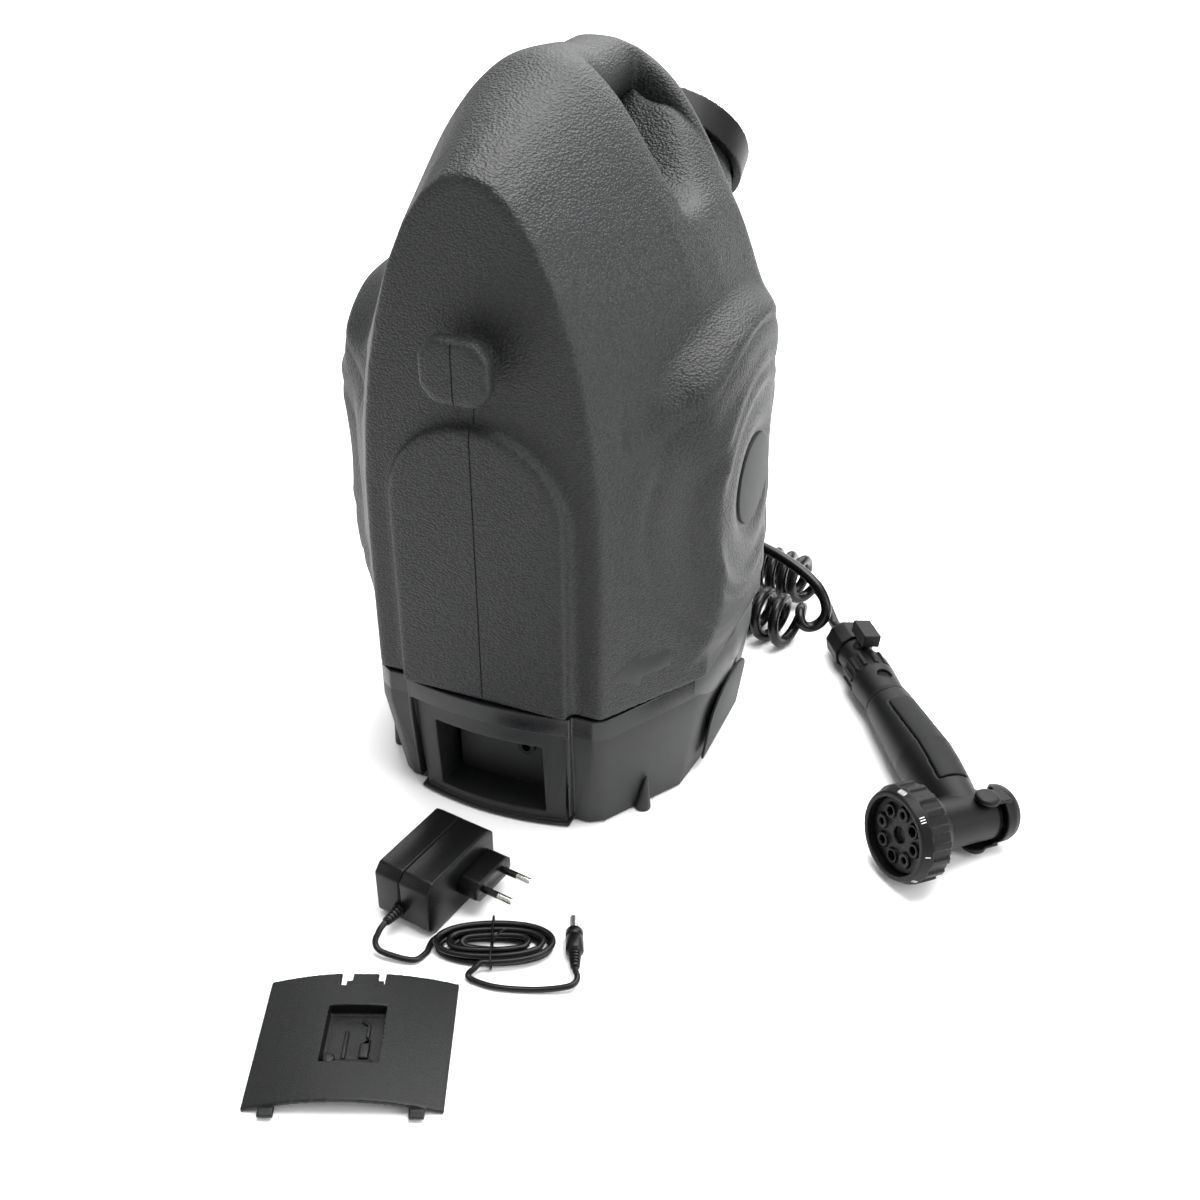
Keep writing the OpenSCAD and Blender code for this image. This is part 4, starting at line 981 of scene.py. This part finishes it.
# The spray gun: glass filled nylon mouldings screwed together, satin black, with a soft
# inlay in the grip and a ribbed dial that turns to change the spray.
soft_finish = moulded("soft_inlay", (0.0042, 0.0044, 0.0047), 0.55, 1500, 0.00005, specular=0.16)
for node, voxel, passes, body, finish, slot in (
    ("gun_body", 0.8, 8, "base", fitting_finish, "fitting"),
    ("grip_inlay", 0.5, 5, "base", soft_finish, "rubber"),
    ("rear_cap", 0.5, 4, "base", fitting_finish, "fitting"),
    ("gun_ring", 0.5, 2, "base", soft_finish, "rubber"),
    ("gun_connector", 0.5, 3, "base", fitting_finish, "fitting"),
    ("ribbed_collar", 0.5, 2, "base", fitting_finish, "fitting"),
    ("stop_valve", 0.5, 3, "base", fitting_finish, "fitting"),
    ("hose_nut", 0.5, 3, "base", fitting_finish, "fitting"),
    ("stop_lever", 0.5, 4, "lever", fitting_finish, "fitting"),
    ("spray_dial", 0.6, 2, "dial", fitting_finish, "fitting"),
    ("nozzle_face", 0.5, 2, "dial", fitting_finish, "fitting"),
):
    piece = eased_copy(node, node + "_skin", voxel, passes)
    piece.data.materials.append(finish)
    stands_for(piece, body, slot, node)
lengths_along(hose_run)[-1] * MM


# The thumb lever: a rounded cap behind the gun's rear end, moulded in one with an arm
# along each side and hung there on a domed boss.
GUN_SIDE = GUN_FWD.cross(GUN_DOWN).normalized()
GUN_UP = GUN_FWD.cross(GUN_SIDE)
gun_frame = (
    Matrix.Translation(GUN_J * MM) @ Matrix((GUN_FWD, GUN_SIDE, GUN_UP)).transposed().to_4x4()
)
BOSS_AT = (-9, 15.6, 5)
BOSS = ((7.6, 0), (7.6, 2.0), (7.3, 2.9), (6.6, 3.5), (5.2, 3.9), (2, 4.1))
ARM_SIZE = Vector((16, 2, 12))
ARM_AT = (-15, 16.4, 5)
THUMB_CAP = (
    (6, 31.2), (11, 29.8), (14, 27), (15.6, 24), (15.6, 19), (17.4, 19), (17.4, 25),
    (16.4, 28.5), (13.5, 31.8), (9, 33.6), (4, 34.2),
)
yoke = turned_piece(
    "thumb_yoke_skin", THUMB_CAP,
    Matrix.Translation(Vector((0, 0, 0.8)) * MM) @ Matrix.Rotation(math.radians(-90), 4, "Y"), 64,
)
# On the grip's side the cap is cut away aslant, so that it can be pressed.
bpy.ops.object.mode_set(mode="EDIT")
bpy.ops.mesh.select_all(action="SELECT")
bpy.ops.mesh.bisect(
    plane_co=Vector((-19, 0, -5)) * MM, plane_no=(12, 0, -14), use_fill=True, clear_outer=True)
bpy.ops.object.mode_set(mode="OBJECT")
arms = []
for side in (1, -1):
    bpy.ops.mesh.primitive_cube_add(size=1)
    arm = bpy.context.object
    arm.scale = ARM_SIZE * MM
    arm.location = Vector((ARM_AT[0], side * ARM_AT[1], ARM_AT[2])) * MM
    bpy.ops.object.transform_apply(location=True, rotation=True, scale=True)
    arms.append(arm)
    arms.append(turned_piece(
        "yoke_boss", BOSS,
        Matrix.Translation(Vector((BOSS_AT[0], side * BOSS_AT[1], BOSS_AT[2])) * MM)
        @ Matrix.Rotation(math.radians(-90 * side), 4, "X"),
    ))
joined(yoke, arms)
apply_modifier(yoke, "REMESH", mode="VOXEL", voxel_size=0.5 * MM)
apply_modifier(yoke, "SMOOTH", factor=0.5, iterations=7)
settle(yoke, gun_frame)
smooth_shaded(yoke, 50)
yoke.data.materials.append(fitting_finish)
stands_for(yoke, "yoke", "fitting", "thumb_yoke")


# White strokes printed round the dial's front edge, one to four for each spray.
MARK_X, MARK_R, MARK_SLOPE = 49.4, 27.55, math.radians(26.6)
STROKE = Vector((3.0, 0.55, 0.24))
mark_finish = moulded("printed_white", (0.75, 0.75, 0.74), 0.5, 3000, 0.00001)
strokes = []
for group in range(8):
    count = (1, 3, 4, 2)[group % 4]
    for k in range(count):
        turn = math.radians(45 * group + 10 + 3.2 * (k - (count - 1) / 2))
        bpy.ops.mesh.primitive_cube_add(size=1)
        stroke = bpy.context.object
        stroke.scale = STROKE * MM
        bpy.ops.object.transform_apply(location=False, rotation=False, scale=True)
        apply_modifier(stroke, "BEVEL", width=0.09 * MM, segments=1, limit_method="NONE")
        settle(
            stroke, gun_frame @ Matrix.Rotation(turn, 4, "X")
            @ Matrix.Translation(Vector((MARK_X, 0, MARK_R)) * MM)
            @ Matrix.Rotation(MARK_SLOPE, 4, "Y"),
        )
        strokes.append(stroke)
joined(strokes[0], strokes[1:])
marks = strokes[0]
marks.name = "dial_marks"
marks.data.materials.append(mark_finish)
stands_for(marks, "dial", "fitting")


# The battery bay door, off and lying on the floor: a thin bowed plate with two hooks,
# a sprung latch and a shallow pocket.
door = eased_copy("battery_door", "battery_door_skin", 0.6, 2)
door_finish = moulded(
    "door_satin_black", (0.0050, 0.0053, 0.0057), 0.40, 1600, 0.00008, specular=0.24)
door.data.materials.append(door_finish)
stands_for(door, "door", "base", "battery_door")

# In the pocket stand a round post and the low fingers that hold the plug when stored.
DOOR_AT, DOOR_TURN, POCKET_Z = Vector((16, -311, 0)), math.radians(22), 2.9
in_pocket = (
    Matrix.Translation((DOOR_AT + Vector((0, 0, POCKET_Z))) * MM)
    @ Matrix.Rotation(DOOR_TURN, 4, "Z")
)
post = turned_piece(
    "pocket_clips", [(3.3, 0), (3.3, 3.4), (3.1, 3.9), (2.6, 4.2), (0.8, 4.3)],
    in_pocket @ Matrix.Translation(Vector((-11, -12.5, 0)) * MM),
)
fingers = []
for outline, thickness in (
    (((-7.5, -15), (11, -15), (11, -11.6), (-7.5, -11.6)), 2.2),
    (((-5.4, -11), (-3.2, -11), (-3.2, 7), (-5.4, 7)), 1.6),
    (((3.4, -11), (8.6, -11), (8.6, 1.5), (6.8, 1.5), (6.8, -1), (3.4, -1)), 2.4),
    (((5.6, 2.6), (7.4, 2.6), (7.4, 11.5), (2.8, 14.5), (1.8, 13.2), (5.6, 10.6)), 1.4),
):
    fingers.append(flat_plate("pocket_finger", outline, thickness, in_pocket))
joined(post, fingers)
post.data.materials.append(door_finish)
stands_for(post, "door", "base")


# The charger: a two part case with a fixed mains plug. Its corners are lightly rounded
# and its faces are left glossy.
charger_finish = moulded(
    "charger_gloss_black", (0.0032, 0.0033, 0.0036), 0.27, 2600, 0.00002, specular=0.2)
for node, width in (("charger_case", 1.3), ("charger_lid", 1.3), ("plug_block", 0.9)):
    piece = broken_edges(node, node + "_skin", width)
    piece.data.materials.append(charger_finish)
    stands_for(piece, "charger", "fitting", node)


# The mains pins: nickelled brass, each in a black sleeve for half its length.
SLEEVE_END = 10
pin_axis = Vector((math.cos(CHARGER_TURN), math.sin(CHARGER_TURN), 0))
pin_finish = moulded(
    "nickelled_pin", (0.62, 0.61, 0.58), 0.22, 900, 0.000001, painted_pit_shade=0.04)
pin_tree = pin_finish.node_tree
pin_shader = pin_tree.nodes["Principled BSDF"]
pin_coat = next(n for n in pin_tree.nodes if n.bl_idname == "ShaderNodeGroup")
pin_place = pin_tree.nodes.new("ShaderNodeTexCoord")
pin_along = pin_tree.nodes.new("ShaderNodeVectorMath")
pin_along.operation = "DOT_PRODUCT"
pin_along.inputs[1].default_value = pin_axis
pin_bare = worked_out(
    pin_tree, "GREATER_THAN", pin_along.outputs["Value"],
    (CHARGER_AT.dot(pin_axis) + SLEEVE_END) * MM,
)
pin_mix = pin_tree.nodes.new("ShaderNodeMix")
pin_mix.data_type = "RGBA"
pin_mix.inputs[6].default_value = (0.006, 0.006, 0.006, 1)
for start, end in (
    (pin_place.outputs["Object"], pin_along.inputs[0]),
    (pin_bare, pin_mix.inputs[0]),
    (pin_coat.outputs["Colour"], pin_mix.inputs[7]),
    (pin_mix.outputs[2], pin_shader.inputs["Base Color"]),
    (pin_bare, pin_shader.inputs["Metallic"]),
):
    pin_tree.links.new(start, end)
pins = broken_edges("plug_pins", "plug_pins_skin", 0.7)
pins.data.materials.append(pin_finish)
stands_for(pins, "charger", "steel", "plug_pins")


# What is inside, and what is still as it was packed, takes the finish of its kind.
steel_finish = moulded("bright_steel", (0.6, 0.61, 0.62), 0.25, 4000, 0.00001, metal=1.0)
brass_finish = moulded("contact_brass", (0.55, 0.4, 0.14), 0.3, 4000, 0.00001, metal=1.0)
board_finish = moulded("board_green", (0.01, 0.07, 0.03), 0.4, 3000, 0.00002)
pack_finish = moulded("pack_wrap", (0.005, 0.0055, 0.006), 0.5, 2000, 0.00002)
kinds = {
    "badge": badge_finish, "rubber": soft_finish, "steel": steel_finish, "contact": brass_finish,
    "board": board_finish, "pack": pack_finish, "tank": tank_finish, "base": base_finish,
    "hose_skin": hose_finish,
}
slot_of = {row["node"]: row["material_slot"] for row in frame["record"]["subparts"]}
for name, piece in nodes.items():
    piece.data.materials.clear()
    piece.data.materials.append(kinds.get(slot_of.get(name), fitting_finish))
